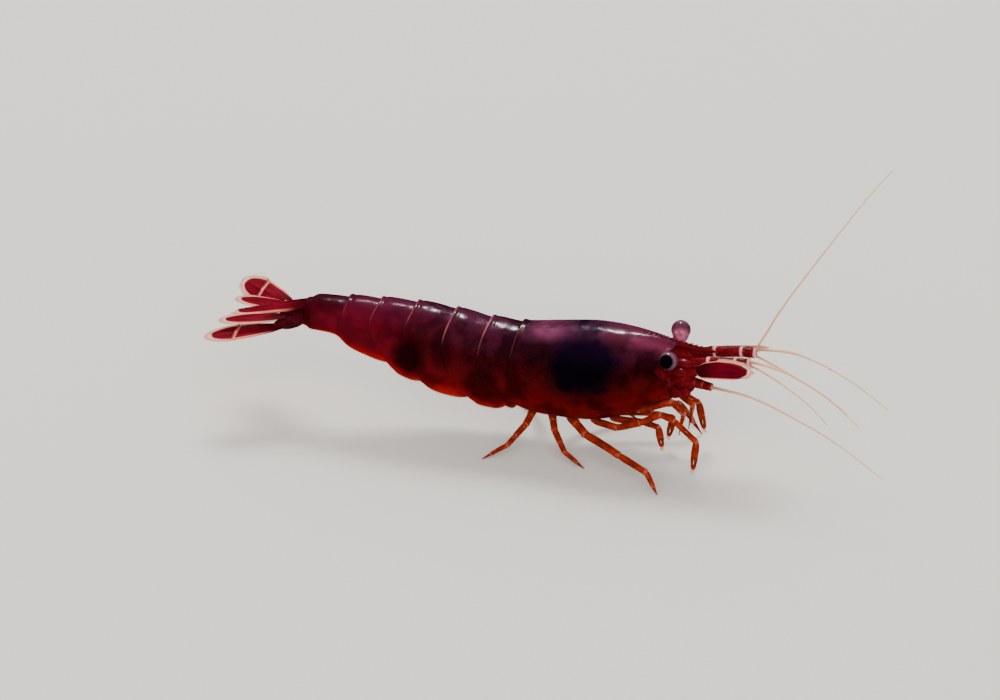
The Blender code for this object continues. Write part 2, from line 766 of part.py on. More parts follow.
def centre_on_floor(collection):
    """Moves everything so that the origin is at the middle of the footprint, at floor level."""
    bpy.context.view_layer.update()
    graph = bpy.context.evaluated_depsgraph_get()
    low, high = Vector((math.inf,) * 3), Vector((-math.inf,) * 3)
    for obj in collection.objects:
        evaluated = obj.evaluated_get(graph)
        mesh = evaluated.to_mesh()
        for vert in mesh.vertices:
            point = evaluated.matrix_world @ vert.co
            low = Vector(map(min, low, point))
            high = Vector(map(max, high, point))
        evaluated.to_mesh_clear()
    shift = Matrix.Translation((-(low.x + high.x) / 2, -(low.y + high.y) / 2, -low.z))
    for obj in collection.objects:
        obj.matrix_world = shift @ obj.matrix_world


def main():
    clear_scene()
    shrimp = new_collection("aquarium_shrimp")
    cutters = new_collection("cutters")
    shell = shell_material("dark_red_shell", (0.09, 0.008, 0.014), 0.3)
    limb_shell = shell_material("orange_red_limb", (0.36, 0.05, 0.015), 0.35)
    fin_shell = shell_material("red_fin", (0.25, 0.02, 0.02), 0.35)
    feeler_shell = shell_material("pale_feeler", (0.72, 0.36, 0.2), 0.45)
    eye_black = shell_material("black_eye", (0.005, 0.005, 0.007), 0.12)

    build_abdomen(shrimp, shell)
    carapace = build_carapace(shrimp, shell)
    build_sternum(shrimp, shell)
    head = build_head(carapace, cutters, shrimp, shell)
    build_mouthparts(carapace, head, cutters, shrimp, limb_shell)
    build_rostrum(carapace, cutters, shrimp, shell)
    build_tail_fan(cutters, shrimp, fin_shell)
    build_swimmers(shrimp, fin_shell)
    for side in ("left", "right"):
        build_eye(side, head, carapace, cutters, shrimp, eye_black, shell)
        build_feelers(side, shrimp, feeler_shell)
        build_scale(side, shrimp, fin_shell)
    for name, walker in WALKERS.items():
        build_walker(name, walker, shrimp, limb_shell)
    for name, route in GRASPERS.items():
        build_grasper(name, route, shrimp, cutters, limb_shell)
    centre_on_floor(shrimp)


main()
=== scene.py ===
import math
from collections import namedtuple

import bpy
import numpy as np
from bpy.props import FloatProperty, FloatVectorProperty, IntProperty, PointerProperty
from mathutils import Matrix, Vector


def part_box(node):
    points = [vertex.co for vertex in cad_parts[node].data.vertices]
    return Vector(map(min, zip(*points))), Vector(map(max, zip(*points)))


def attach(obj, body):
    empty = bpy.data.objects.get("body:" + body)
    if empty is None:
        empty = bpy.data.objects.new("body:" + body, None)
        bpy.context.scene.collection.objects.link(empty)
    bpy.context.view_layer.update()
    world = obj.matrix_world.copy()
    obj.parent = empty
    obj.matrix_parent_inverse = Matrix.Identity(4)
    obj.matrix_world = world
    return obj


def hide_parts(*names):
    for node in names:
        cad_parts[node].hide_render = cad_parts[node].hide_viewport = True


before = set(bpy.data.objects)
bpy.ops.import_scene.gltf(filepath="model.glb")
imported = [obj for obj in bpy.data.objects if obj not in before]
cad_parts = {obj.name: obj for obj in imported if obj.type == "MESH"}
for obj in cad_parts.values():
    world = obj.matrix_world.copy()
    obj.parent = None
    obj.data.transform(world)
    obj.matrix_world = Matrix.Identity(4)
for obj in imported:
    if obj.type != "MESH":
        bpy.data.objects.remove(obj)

bl_info = {
    "name": "Aquarium shrimp",
    "version": (1, 0, 0),
    "blender": (4, 5, 0),
    "location": "3D View > Sidebar > Shrimp",
    "description": "Builds the shell, limbs, eyes, feelers and fringes of a dwarf aquarium shrimp",
    "category": "Object",
}

MM = 0.001

# Lengths below are in millimetres. x = 0 is the middle of the carapace, with the head towards +X,
# y = 0 is the plane of symmetry with the animal's left side at +Y, and z = 0 is the floor. SHIFT takes
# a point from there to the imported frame, whose origin is the middle of the footprint.
EYES = {"left": Vector((4.31, 1.46, 6.30)), "right": Vector((4.46, -1.46, 6.05))}
_low, _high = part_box("eye_left")
SHIFT = (_low + _high) / 2 / MM - EYES["left"]
SIDES = ("left", "right")

# Sections of the shell along the body: the height of its roof, half its width and the height where it
# is widest, and the height and half width of its lower edge.
Station = namedtuple("Station", "x top half_width widest hem hem_half")
BODY = [
    Station(-15.2, 6.18, 0.72, 5.56, 4.90, 0.50),
    Station(-13.4, 6.44, 0.92, 5.65, 4.66, 0.66),
    Station(-12.3, 6.54, 1.06, 5.50, 4.20, 0.82),
    Station(-11.0, 6.62, 1.26, 5.30, 3.78, 1.00),
    Station(-9.3, 6.69, 1.50, 4.95, 3.08, 1.15),
    Station(-7.8, 6.65, 1.67, 4.60, 2.62, 1.25),
    Station(-6.3, 6.50, 1.79, 4.30, 2.34, 1.32),
    Station(-4.8, 6.34, 1.85, 4.15, 2.14, 1.32),
    Station(-3.4, 6.36, 1.91, 4.10, 2.20, 1.22),
    Station(-1.8, 6.60, 2.00, 4.15, 2.02, 1.05),
    Station(0.3, 6.88, 2.06, 4.30, 2.06, 1.00),
    Station(1.9, 6.84, 1.92, 4.50, 2.52, 0.95),
    Station(3.4, 6.58, 1.64, 4.85, 3.33, 0.90),
    Station(4.6, 6.24, 1.32, 5.10, 4.02, 0.80),
]
# Borders between the plates, from the tail to the front of the carapace: x on the back and at the
# lower edge, and how far the border bows towards the tail between them.
Border = namedtuple("Border", "back edge sag")
BORDERS = [
    Border(-14.72, -14.85, 0.0),
    Border(-12.40, -12.85, 0.10),
    Border(-10.75, -10.00, 0.45),
    Border(-8.90, -8.40, 0.45),
    Border(-6.90, -5.75, 0.45),
    Border(-5.05, -4.05, 0.40),
    Border(-3.43, -3.55, 0.20),
    Border(4.45, 4.30, 0.75),
]
ORBIT_DEPTH_SHARE = 0.62  # depth at which the front edge of the carapace has passed the eye
SHOULDER = 0.6  # share of a plate's half girth that is its rounded upper part
UPPER_SHARE = 0.55  # depth at which that upper part ends
LOBE_RISE = 0.32  # how far a plate's lower edge rises at its corners
CHANNEL = 0.9  # height of the open channel under the belly
SWIMMER_X = [-4.45, -5.75, -7.35, -9.2, -11.05]  # where each pair of swimming legs hangs

# --- Numbers and curves ------------------------------------------------------------------------------


def linear(hex_colour):
    """An sRGB hex colour as a linear RGBA tuple."""
    channels = [int(hex_colour[i : i + 2], 16) / 255 for i in (1, 3, 5)]
    return (*[c / 12.92 if c <= 0.04045 else ((c + 0.055) / 1.055) ** 2.4 for c in channels], 1.0)


def mix(a, b, t):
    return a + (b - a) * t


def ease(t):
    t = np.clip(t, 0.0, 1.0)
    return t * t * (3 - 2 * t)


def bump(distance, width):
    return np.exp(-((distance / width) ** 2))


def body_at(x):
    """The body's section at x, on a smooth curve through the stations."""
    x = min(max(x, BODY[0].x), BODY[-1].x)
    i = max(k for k in range(len(BODY) - 1) if BODY[k].x <= x)
    before, a = BODY[max(i - 1, 0)], BODY[i]
    b, after = BODY[i + 1], BODY[min(i + 2, len(BODY) - 1)]
    t = (x - a.x) / (b.x - a.x)
    values = []
    for p0, p1, p2, p3 in zip(before, a, b, after):
        slope_a = (p2 - p0) * (b.x - a.x) / max(b.x - before.x, 1e-6)
        slope_b = (p3 - p1) * (b.x - a.x) / max(after.x - a.x, 1e-6)
        values.append(
            (2 * t**3 - 3 * t**2 + 1) * p1
            + (t**3 - 2 * t**2 + t) * slope_a
            + (3 * t**2 - 2 * t**3) * p2
            + (t**3 - t**2) * slope_b
        )
    return Station(*values)


def border_x(border, depth):
    """Where a border lies at a depth from 0, on the back, to 1, at the lower edge."""
    sag = border.sag * math.sin(math.pi * depth)
    if border is BORDERS[-1]:
        sag = border.sag * math.sin(math.pi * min(depth / ORBIT_DEPTH_SHARE, 1.0))
    return mix(border.back, border.edge, depth**2) - sag


def smooth_route(knots, count):
    """Evenly spaced points on a Catmull-Rom curve through the knots."""
    knots = [Vector(k) for k in knots]
    ends = [knots[0] * 2 - knots[1]] + knots + [knots[-1] * 2 - knots[-2]]
    fine = []
    for i in range(1, len(ends) - 2):
        a, b, c, d = ends[i - 1 : i + 3]
        for k in range(16):
            t = k / 16
            bend, twist = 2 * a - 5 * b + 4 * c - d, 3 * b - a - 3 * c + d
            fine.append(0.5 * (2 * b + (c - a) * t + bend * t**2 + twist * t**3))
    fine.append(knots[-1])
    fine = np.array(fine)
    lengths = np.concatenate([[0], np.cumsum(np.linalg.norm(np.diff(fine, axis=0), axis=1))])
    at = np.linspace(0, lengths[-1], count)
    return np.column_stack([np.interp(at, lengths, fine[:, k]) for k in range(3)])


def sign_of(side):
    return 1 if side == "left" else -1


def sided(points, side):
    """Points given with y outward, on the side asked for."""
    return [Vector((x, y * sign_of(side), z)) for x, y, z in points]


# --- Meshes ------------------------------------------------------------------------------------------


def keep(obj, node_names):
    """Hands a finished piece to the frame."""
    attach(obj, "root")
    if node_names:
        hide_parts(*node_names)


def to_object(name, points, faces, material, uvs):
    """A smooth mesh object from points in millimetres, with one UV pair for each point."""
    mesh = bpy.data.meshes.new(name)
    placed = (np.asarray(points, float).reshape(-1, 3) + np.array(SHIFT)) * MM
    mesh.from_pydata(placed.tolist(), [], [tuple(int(i) for i in face) for face in faces])
    layer = mesh.uv_layers.new(name="Pattern")
    corner_verts = np.zeros(len(mesh.loops), int)
    mesh.loops.foreach_get("vertex_index", corner_verts)
    layer.data.foreach_set("uv", np.asarray(uvs, float).reshape(-1, 2)[corner_verts].ravel())
    mesh.materials.append(material)
    mesh.shade_smooth()
    obj = bpy.data.objects.new(name, mesh)
    bpy.context.scene.collection.objects.link(obj)
    return obj


def reshaped(obj, change):
    """Moves a mesh's points by a function of their places in millimetres."""
    points = np.zeros(len(obj.data.vertices) * 3)
    obj.data.vertices.foreach_get("co", points)
    points = change(points.reshape(-1, 3) / MM - np.array(SHIFT))
    obj.data.vertices.foreach_set("co", ((points + np.array(SHIFT)) * MM).ravel())
    obj.data.update()
    return obj


def joined(name, objects):
    """One object from several, keeping their materials."""
    first = objects[0]
    if len(objects) > 1:
        chosen = {"selected_objects": objects, "selected_editable_objects": objects}
        with bpy.context.temp_override(active_object=first, object=first, **chosen):
            bpy.ops.object.join()
    first.name = name
    first.data.name = name
    return first


def grid_normals(points):
    normals = np.cross(np.gradient(points, axis=0), np.gradient(points, axis=1))
    return normals / np.maximum(np.linalg.norm(normals, axis=2, keepdims=True), 1e-9)


def sheet(name, points, uvs, thickness, material, flip=False):
    """A thin closed sheet whose outer face is a grid of points; its inner face lies below it. flip is
    for a grid whose columns run the other way round."""
    if flip:
        points, uvs = points[:, ::-1], uvs[:, ::-1]
    rows, columns = points.shape[:2]
    inner = points - grid_normals(points) * thickness
    count = rows * columns
    index = np.arange(count).reshape(rows, columns)
    a, b, c, d = (index[:-1, :-1], index[1:, :-1], index[1:, 1:], index[:-1, 1:])
    outer_faces = np.stack([a, b, c, d], -1).reshape(-1, 4)
    inner_faces = outer_faces[:, ::-1] + count
    loop = np.concatenate([index[0, :-1], index[:-1, -1], index[-1, :0:-1], index[:0:-1, 0]])
    after = np.roll(loop, -1)
    rim = np.stack([loop, after, after + count, loop + count], -1)
    faces = np.concatenate([outer_faces, inner_faces, rim])
    both = np.concatenate([points.reshape(-1, 3), inner.reshape(-1, 3)])
    return to_object(name, both, faces, material, np.concatenate([uvs.reshape(-1, 2)] * 2))


def frames_along(route):
    """Two unit vectors across a route at each of its points, without twist."""
    steps = np.gradient(route, axis=0)
    steps /= np.maximum(np.linalg.norm(steps, axis=1, keepdims=True), 1e-9)
    side = np.cross(steps[0], [0, 0, 1.0])
    if np.linalg.norm(side) < 0.05:
        side = np.cross(steps[0], [0, 1.0, 0])
    first, second = [], []
    for step in steps:
        side = side - step * np.dot(side, step)
        side /= np.linalg.norm(side)
        first.append(side)
        second.append(np.cross(step, side))
    return np.array(first), np.array(second)


def rod(name, route, radii, material, sides=14, flatten=1.0, shares=None):
    """A closed rounded rod along a route; flatten narrows it across its second direction."""
    route = np.asarray(route, float)
    radii = np.asarray(radii, float)
    first, second = frames_along(route)
    turn = np.linspace(0, 2 * math.pi, sides, endpoint=False)
    cosines, sines = np.cos(turn)[None, :, None], np.sin(turn)[None, :, None]
    ring = first[:, None] * cosines + second[:, None] * sines * flatten
    points = (route[:, None] + ring * radii[:, None, None]).reshape(-1, 3)
    rows = len(route)
    index = np.arange(rows * sides).reshape(rows, sides)
    after = np.roll(index, -1, axis=1)
    faces = [tuple(q) for q in np.stack([index[:-1], after[:-1], after[1:], index[1:]], -1).reshape(-1, 4)]
    start, end = rows * sides, rows * sides + 1
    faces += [(start, after[0, k], index[0, k]) for k in range(sides)]
    faces += [(end, index[-1, k], after[-1, k]) for k in range(sides)]
    points = np.concatenate([points, route[:1], route[-1:]])
    shares = np.linspace(0, 1, rows) if shares is None else np.asarray(shares)
    around = np.arange(sides) / sides
    uvs = np.stack(np.meshgrid(shares, around, indexing="ij"), -1).reshape(-1, 2)
    uvs = np.concatenate([uvs, [[shares[0], 0.5], [shares[-1], 0.5]]])
    return to_object(name, points, faces, material, uvs)


def lump(name, centre, radii, material, lean=(0, 0, 0), sides=16):
    """A rounded lump: an ellipsoid turned by lean, in degrees."""
    turn = Matrix.Rotation(math.radians(lean[2]), 3, "Z") @ Matrix.Rotation(math.radians(lean[1]), 3, "Y")
    turn = turn @ Matrix.Rotation(math.radians(lean[0]), 3, "X")
    rows = sides // 2 + 1
    polar = np.linspace(0.02, math.pi - 0.02, rows)
    route = np.column_stack([-np.cos(polar), np.zeros(rows), np.zeros(rows)]) * radii[0]
    made = rod(name, route, np.sin(polar), material, sides)
    size = np.array([1, radii[1], radii[2]])
    return reshaped(made, lambda points: (points * size) @ np.array(turn).T + np.array(centre))


def lumps(name, side, material, table):
    """Lumps on one side of the body, from rows of (centre with y outward, radii, lean)."""
    made = []
    for centre, radii, (roll, pitch, yaw) in table:
        spot = sided([centre], side)[0]
        made.append(lump(name, spot, radii, material, (roll, pitch, yaw * sign_of(side))))
    return made


# --- Nodes -------------------------------------------------------------------------------------------


def add_node(tree, kind, inputs=None, stops=(), **settings):
    """Adds a node. inputs maps a socket's name or number to a value, or to a socket or a node to link
    from, where a node gives its first output in use. stops are a colour ramp's (place, colour) pairs."""
    made = tree.nodes.new(kind)
    for key, value in settings.items():
        setattr(made, key, value)
    for key, value in (inputs or {}).items():
        if isinstance(value, bpy.types.Node):
            value = next(output for output in value.outputs if output.enabled)
        if isinstance(value, bpy.types.NodeSocket):
            tree.links.new(value, made.inputs[key])
        else:
            made.inputs[key].default_value = value
    if stops:
        made.color_ramp.interpolation = "EASE"
        elements = made.color_ramp.elements
        while len(elements) < len(stops):
            elements.new(0.5)
        for element, (place, colour) in zip(elements, stops):
            element.position = place
            element.color = colour
    return made


def new_geometry_tree(name, inputs):
    """A geometry tree with a geometry input, then the named inputs, and a geometry output."""
    tree = bpy.data.node_groups.new(name, "GeometryNodeTree")
    tree.interface.new_socket("Geometry", in_out="INPUT", socket_type="NodeSocketGeometry")
    for label, kind in inputs.items():
        tree.interface.new_socket(label, in_out="INPUT", socket_type=kind)
    tree.interface.new_socket("Geometry", in_out="OUTPUT", socket_type="NodeSocketGeometry")
    return tree, add_node(tree, "NodeGroupInput")


def finish_tree(tree, geometry, material):
    real = add_node(tree, "GeometryNodeRealizeInstances", {"Geometry": geometry})
    painted = add_node(tree, "GeometryNodeSetMaterial", {"Geometry": real.outputs[0], "Material": material})
    add_node(tree, "NodeGroupOutput", {"Geometry": painted.outputs[0]})
    return tree


def grown(name, seed_object, tree, inputs):
    """Runs a geometry tree on an object and keeps its result as a plain mesh."""
    modifier = seed_object.modifiers.new(tree.name, "NODES")
    modifier.node_group = tree
    identifiers = {
        item.name: item.identifier
        for item in tree.interface.items_tree
        if item.item_type == "SOCKET" and item.in_out == "INPUT"
    }
    for label, value in inputs.items():
        modifier[identifiers[label]] = value
    bpy.context.view_layer.update()
    graph = bpy.context.evaluated_depsgraph_get()
    mesh = bpy.data.meshes.new_from_object(seed_object.evaluated_get(graph), depsgraph=graph)
    bpy.data.objects.remove(seed_object, do_unlink=True)
    mesh.shade_smooth()
    made = bpy.data.objects.new(name, mesh)
    bpy.context.scene.collection.objects.link(made)
    return made


def bristle_tree():
    """A tapering bristle on each point, along the point's own direction and of its own length."""
    tree, given = new_geometry_tree(
        "Bristles",
        {
            "Root width": "NodeSocketFloat",
            "Tip share": "NodeSocketFloat",
            "Spread": "NodeSocketFloat",
            "Seed": "NodeSocketInt",
            "Material": "NodeSocketMaterial",
        },
    )
    lie = add_node(tree, "GeometryNodeInputNamedAttribute", {"Name": "lie"}, data_type="FLOAT_VECTOR")
    reach = add_node(tree, "GeometryNodeInputNamedAttribute", {"Name": "reach"}, data_type="FLOAT")
    stray = add_node(
        tree,
        "FunctionNodeRandomValue",
        {0: (-1, -1, -1), 1: (1, 1, 1), "Seed": given.outputs["Seed"]},
        data_type="FLOAT_VECTOR",
    )
    strayed = {0: stray.outputs[0], "Scale": given.outputs["Spread"]}
    strayed = add_node(tree, "ShaderNodeVectorMath", strayed, operation="SCALE")
    along = {0: lie.outputs[0], 1: strayed.outputs[0]}
    along = add_node(tree, "ShaderNodeVectorMath", along, operation="ADD")
    turned = add_node(tree, "FunctionNodeAlignRotationToVector", {"Vector": along.outputs[0]}, axis="Z")
    width = given.outputs["Root width"]
    size = add_node(tree, "ShaderNodeCombineXYZ", {0: width, 1: width, 2: reach.outputs[0]})
    bristle = add_node(
        tree,
        "GeometryNodeMeshCone",
        {
            "Vertices": 5,
            "Side Segments": 1,
            "Radius Top": given.outputs["Tip share"],
            "Radius Bottom": 0.5,
            "Depth": 1.0,
        },
    )
    placed = add_node(
        tree,
        "GeometryNodeInstanceOnPoints",
        {
            "Points": given.outputs["Geometry"],
            "Instance": bristle.outputs[0],
            "Rotation": turned.outputs[0],
            "Scale": size.outputs[0],
        },
    )
    return finish_tree(tree, placed.outputs[0], given.outputs["Material"])


def ringed_rod_tree():
    """A rod along a curve, of the curve's own radius, with a raised ring at every pitch."""
    tree, given = new_geometry_tree(
        "Ringed rod",
        {
            "Ring pitch": "NodeSocketFloat",
            "Ring height": "NodeSocketFloat",
            "Sides": "NodeSocketInt",
            "Material": "NodeSocketMaterial",
        },
    )
    half = add_node(tree, "ShaderNodeMath", {0: given.outputs["Ring pitch"], 1: 0.5}, operation="MULTIPLY")
    even = add_node(
        tree,
        "GeometryNodeResampleCurve",
        {"Curve": given.outputs["Geometry"], "Length": half.outputs[0]},
        mode="LENGTH",
    )
    place = add_node(tree, "GeometryNodeSplineParameter")
    marked = add_node(
        tree,
        "GeometryNodeStoreNamedAttribute",
        {"Geometry": even.outputs[0], "Name": "along", "Value": place.outputs["Factor"]},
        data_type="FLOAT",
        domain="POINT",
    )
    odd = add_node(tree, "ShaderNodeMath", {0: place.outputs["Index"], 1: 2.0}, operation="MODULO")
    rise = add_node(
        tree,
        "ShaderNodeMath",
        {0: odd.outputs[0], 1: given.outputs["Ring height"], 2: 1.0},
        operation="MULTIPLY_ADD",
    )
    radius = add_node(tree, "GeometryNodeInputRadius")
    scaled = {0: radius.outputs[0], 1: rise.outputs[0]}
    scale = add_node(tree, "ShaderNodeMath", scaled, operation="MULTIPLY")
    ring = add_node(
        tree, "GeometryNodeCurvePrimitiveCircle", {"Resolution": given.outputs["Sides"], "Radius": 1.0}
    )
    rod_mesh = add_node(
        tree,
        "GeometryNodeCurveToMesh",
        {
            "Curve": marked.outputs[0],
            "Profile Curve": ring.outputs[0],
            "Scale": scale.outputs[0],
            "Fill Caps": True,
        },
    )
    return finish_tree(tree, rod_mesh.outputs[0], given.outputs["Material"])


def tree_named(name):
    made = bpy.data.node_groups.get(name)
    return made or {"Bristles": bristle_tree, "Ringed rod": ringed_rod_tree}[name]()


def bristles(name, spots, material, width, tip=0.12, spread=0.1, seed=3):
    """Bristles from a list of (root, direction, length), all in millimetres. width is a root's, tip the
    tip's share of it, and spread how far the directions stray."""
    mesh = bpy.data.meshes.new(name)
    roots = (np.array([spot[0] for spot in spots], float) + np.array(SHIFT)) * MM
    mesh.from_pydata(roots.tolist(), [], [])
    lie = mesh.attributes.new("lie", "FLOAT_VECTOR", "POINT")
    ways = np.array([spot[1] for spot in spots], float)
    ways /= np.maximum(np.linalg.norm(ways, axis=1, keepdims=True), 1e-9)
    lie.data.foreach_set("vector", ways.ravel())
    reach = mesh.attributes.new("reach", "FLOAT", "POINT")
    reach.data.foreach_set("value", np.array([spot[2] for spot in spots], float) * MM)
    seed_object = bpy.data.objects.new(name, mesh)
    bpy.context.scene.collection.objects.link(seed_object)
    inputs = {"Root width": width * MM, "Tip share": tip / 2, "Spread": spread}
    inputs |= {"Seed": seed, "Material": material}
    return grown(name, seed_object, tree_named("Bristles"), inputs)


RING_PITCH = 0.13  # mm between a feeler's rings
RING_HEIGHT = 0.1  # how far a ring stands out, as a share of the radius


def ringed_rod(name, route, radii, material):
    """A feeler's many-ringed rod along a route in millimetres."""
    curve = bpy.data.curves.new(name, "CURVE")
    curve.dimensions = "3D"
    spline = curve.splines.new("POLY")
    spline.points.add(len(route) - 1)
    for point, spot, radius in zip(spline.points, route, radii):
        point.co = (*((Vector(spot) + SHIFT) * MM), 1)
        point.radius = radius * MM
    seed_object = bpy.data.objects.new(name, curve)
    bpy.context.scene.collection.objects.link(seed_object)
    inputs = {"Ring pitch": RING_PITCH * MM, "Ring height": RING_HEIGHT, "Sides": 10, "Material": material}
    return grown(name, seed_object, tree_named("Ringed rod"), inputs)


# --- Settings ----------------------------------------------------------------------------------------


def size_prop(name, description, millimetres):
    kind = {"min": 0.0, "subtype": "DISTANCE", "unit": "LENGTH"}
    return FloatProperty(name=name, description=description, default=millimetres * MM, **kind)


def colour_prop(name, description, hex_colour):
    kind = {"subtype": "COLOR", "size": 4, "min": 0.0, "max": 1.0}
    return FloatVectorProperty(name=name, description=description, default=linear(hex_colour), **kind)


class SHRIMP_PG_sizes(bpy.types.PropertyGroup):
    plate: size_prop("Shell thickness", "Thickness of the body's shell plates", 0.09)
    blade: size_prop("Blade thickness", "Thickness of the tail blades and feeler scales", 0.07)
    eye: size_prop("Eye radius", "Radius of each eye", 0.49)
    feeler_root: size_prop("Feeler root radius", "Radius of a feeler where it leaves its base", 0.062)
    feeler_tip: size_prop("Feeler tip radius", "Radius of a feeler at its tip", 0.02)
    fringe: size_prop("Fringe length", "Length of the bristles round the tail fan", 0.24)
    limb: FloatProperty(
        name="Limb stoutness", description="Thickness of the legs, 1 as built", default=1.0, min=0.3, max=2.0
    )
    rostrum_teeth: IntProperty(
        name="Rostrum teeth", description="Teeth on the rostrum's upper edge", default=15, min=0, max=40
    )


class SHRIMP_PG_colours(bpy.types.PropertyGroup):
    back: colour_prop("Back", "Shell along the back", "#43162F")
    flank: colour_prop("Flank", "Shell along the sides", "#2E0005")
    lower: colour_prop("Lower edge", "Shell at the lower edges of the side plates", "#640500")
    tail: colour_prop("Tail", "Shell towards the tail", "#640A1E")
    # The next colour is a painted sheen: mauve light glancing off the upper side of the carapace, painted
    # into the shell's colour.
    painted_sheen: colour_prop("Bloom", "Mauve bloom on the upper side of the carapace", "#8E4064")
    saddle: colour_prop("Dark patch", "The dark organs that show through the carapace", "#02010A")
    head: colour_prop("Head", "Front of the head and the bases of the feelers", "#780A16")
    stalk: colour_prop("Eye stalks", "The stalks of the eyes", "#B8607E")
    limb: colour_prop("Limbs", "Shell of the legs", "#A0280E")
    blade: colour_prop("Blades", "The tail blades", "#700E1E")
    scale: colour_prop("Feeler scales", "The scales beside the feelers' bases", "#5C0616")
    pale: colour_prop("Pale edges", "Joints, rims and the edges of the blades", "#EC8270")
    cream: colour_prop("Cream tips", "The edges of the blades at their tips", "#F6C6A6")
    feeler: colour_prop("Feelers", "The long feelers", "#E8B287")
    eye: colour_prop("Eyes", "The surface of the eyes", "#050308")
    eye_ring: colour_prop("Eye rings", "The greyish mauve ring round each eye", "#724A5C")


def sizes():
    return bpy.context.scene.shrimp_sizes


def colours():
    return bpy.context.scene.shrimp_colours


# --- Materials ---------------------------------------------------------------------------------------


# A Map Range node's sockets are 0 the value, 1 and 2 the range it comes from, and 3 and 4 the range it
# goes to. A colour Mix node's are 0 the share, and 6 and 7 the two colours.
SOFT = {"interpolation_type": "SMOOTHSTEP"}
RGBA = {"data_type": "RGBA"}
TIMES = {"operation": "MULTIPLY"}


def shaded(colour, factor):
    """A colour made darker or brighter by a factor."""
    return [min(c * factor, 1) for c in colour[:3]] + [1]


def blended(a, b, t):
    return [mix(x, y, t) for x, y in zip(a, b)]


def along_body(lengthwise, start, end, first=0.0, last=1.0):
    """Inputs for a Map Range from one x in millimetres to another."""
    return {0: lengthwise, 1: (start + SHIFT.x) * MM, 2: (end + SHIFT.x) * MM, 3: first, 4: last}


def start_material(name, **uniform):
    """A new material, its tree and its shader, with values that are the same all over the surface."""
    material = bpy.data.materials.new(name)
    material.use_nodes = True
    tree = material.node_tree
    shader = tree.nodes["Principled BSDF"]
    for key, value in uniform.items():
        shader.inputs[key.replace("_", " ")].default_value = value
    return material, tree, shader


def shell_relief(tree, shader, where, pit_mm, strength, wave=0.0):
    """Fine unevenness of the shell's surface: pits about pit_mm apart, on waves about 0.9 mm apart."""
    pits = add_node(tree, "ShaderNodeTexNoise", {"Vector": where, "Scale": 1 / (pit_mm * MM), "Detail": 3})
    waves = add_node(tree, "ShaderNodeTexNoise", {"Vector": where, "Scale": 1 / (0.9 * MM), "Detail": 1})
    swell = add_node(tree, "ShaderNodeBump", {"Strength": wave, "Distance": 0.2 * MM, "Height": waves})
    relief = {"Strength": strength, "Distance": 0.01 * MM, "Height": pits, "Normal": swell}
    tree.links.new(add_node(tree, "ShaderNodeBump", relief).outputs[0], shader.inputs["Normal"])
    return pits


# Dark pigment in the body: centre and reach of each patch in mm, and how strongly it shows. They are the
# organs behind the head, the upper rear of the carapace, three bands on the sides of the abdomen, and
# the back of its last plate.
DARK_PATCHES = [
    ((0.05, 0, 5.35), (1.9, 9.0, 1.75), 0.97),
    ((-2.55, 0, 5.75), (1.0, 9.0, 0.6), 0.6),
    ((-5.1, 0, 3.5), (0.8, 9.0, 1.1), 0.7),
    ((-7.35, 0, 5.15), (0.6, 9.0, 1.0), 0.6),
    ((-8.9, 0, 4.5), (0.85, 9.0, 1.2), 0.9),
    ((-13.5, 0, 6.35), (0.9, 9.0, 0.45), 0.5),
]


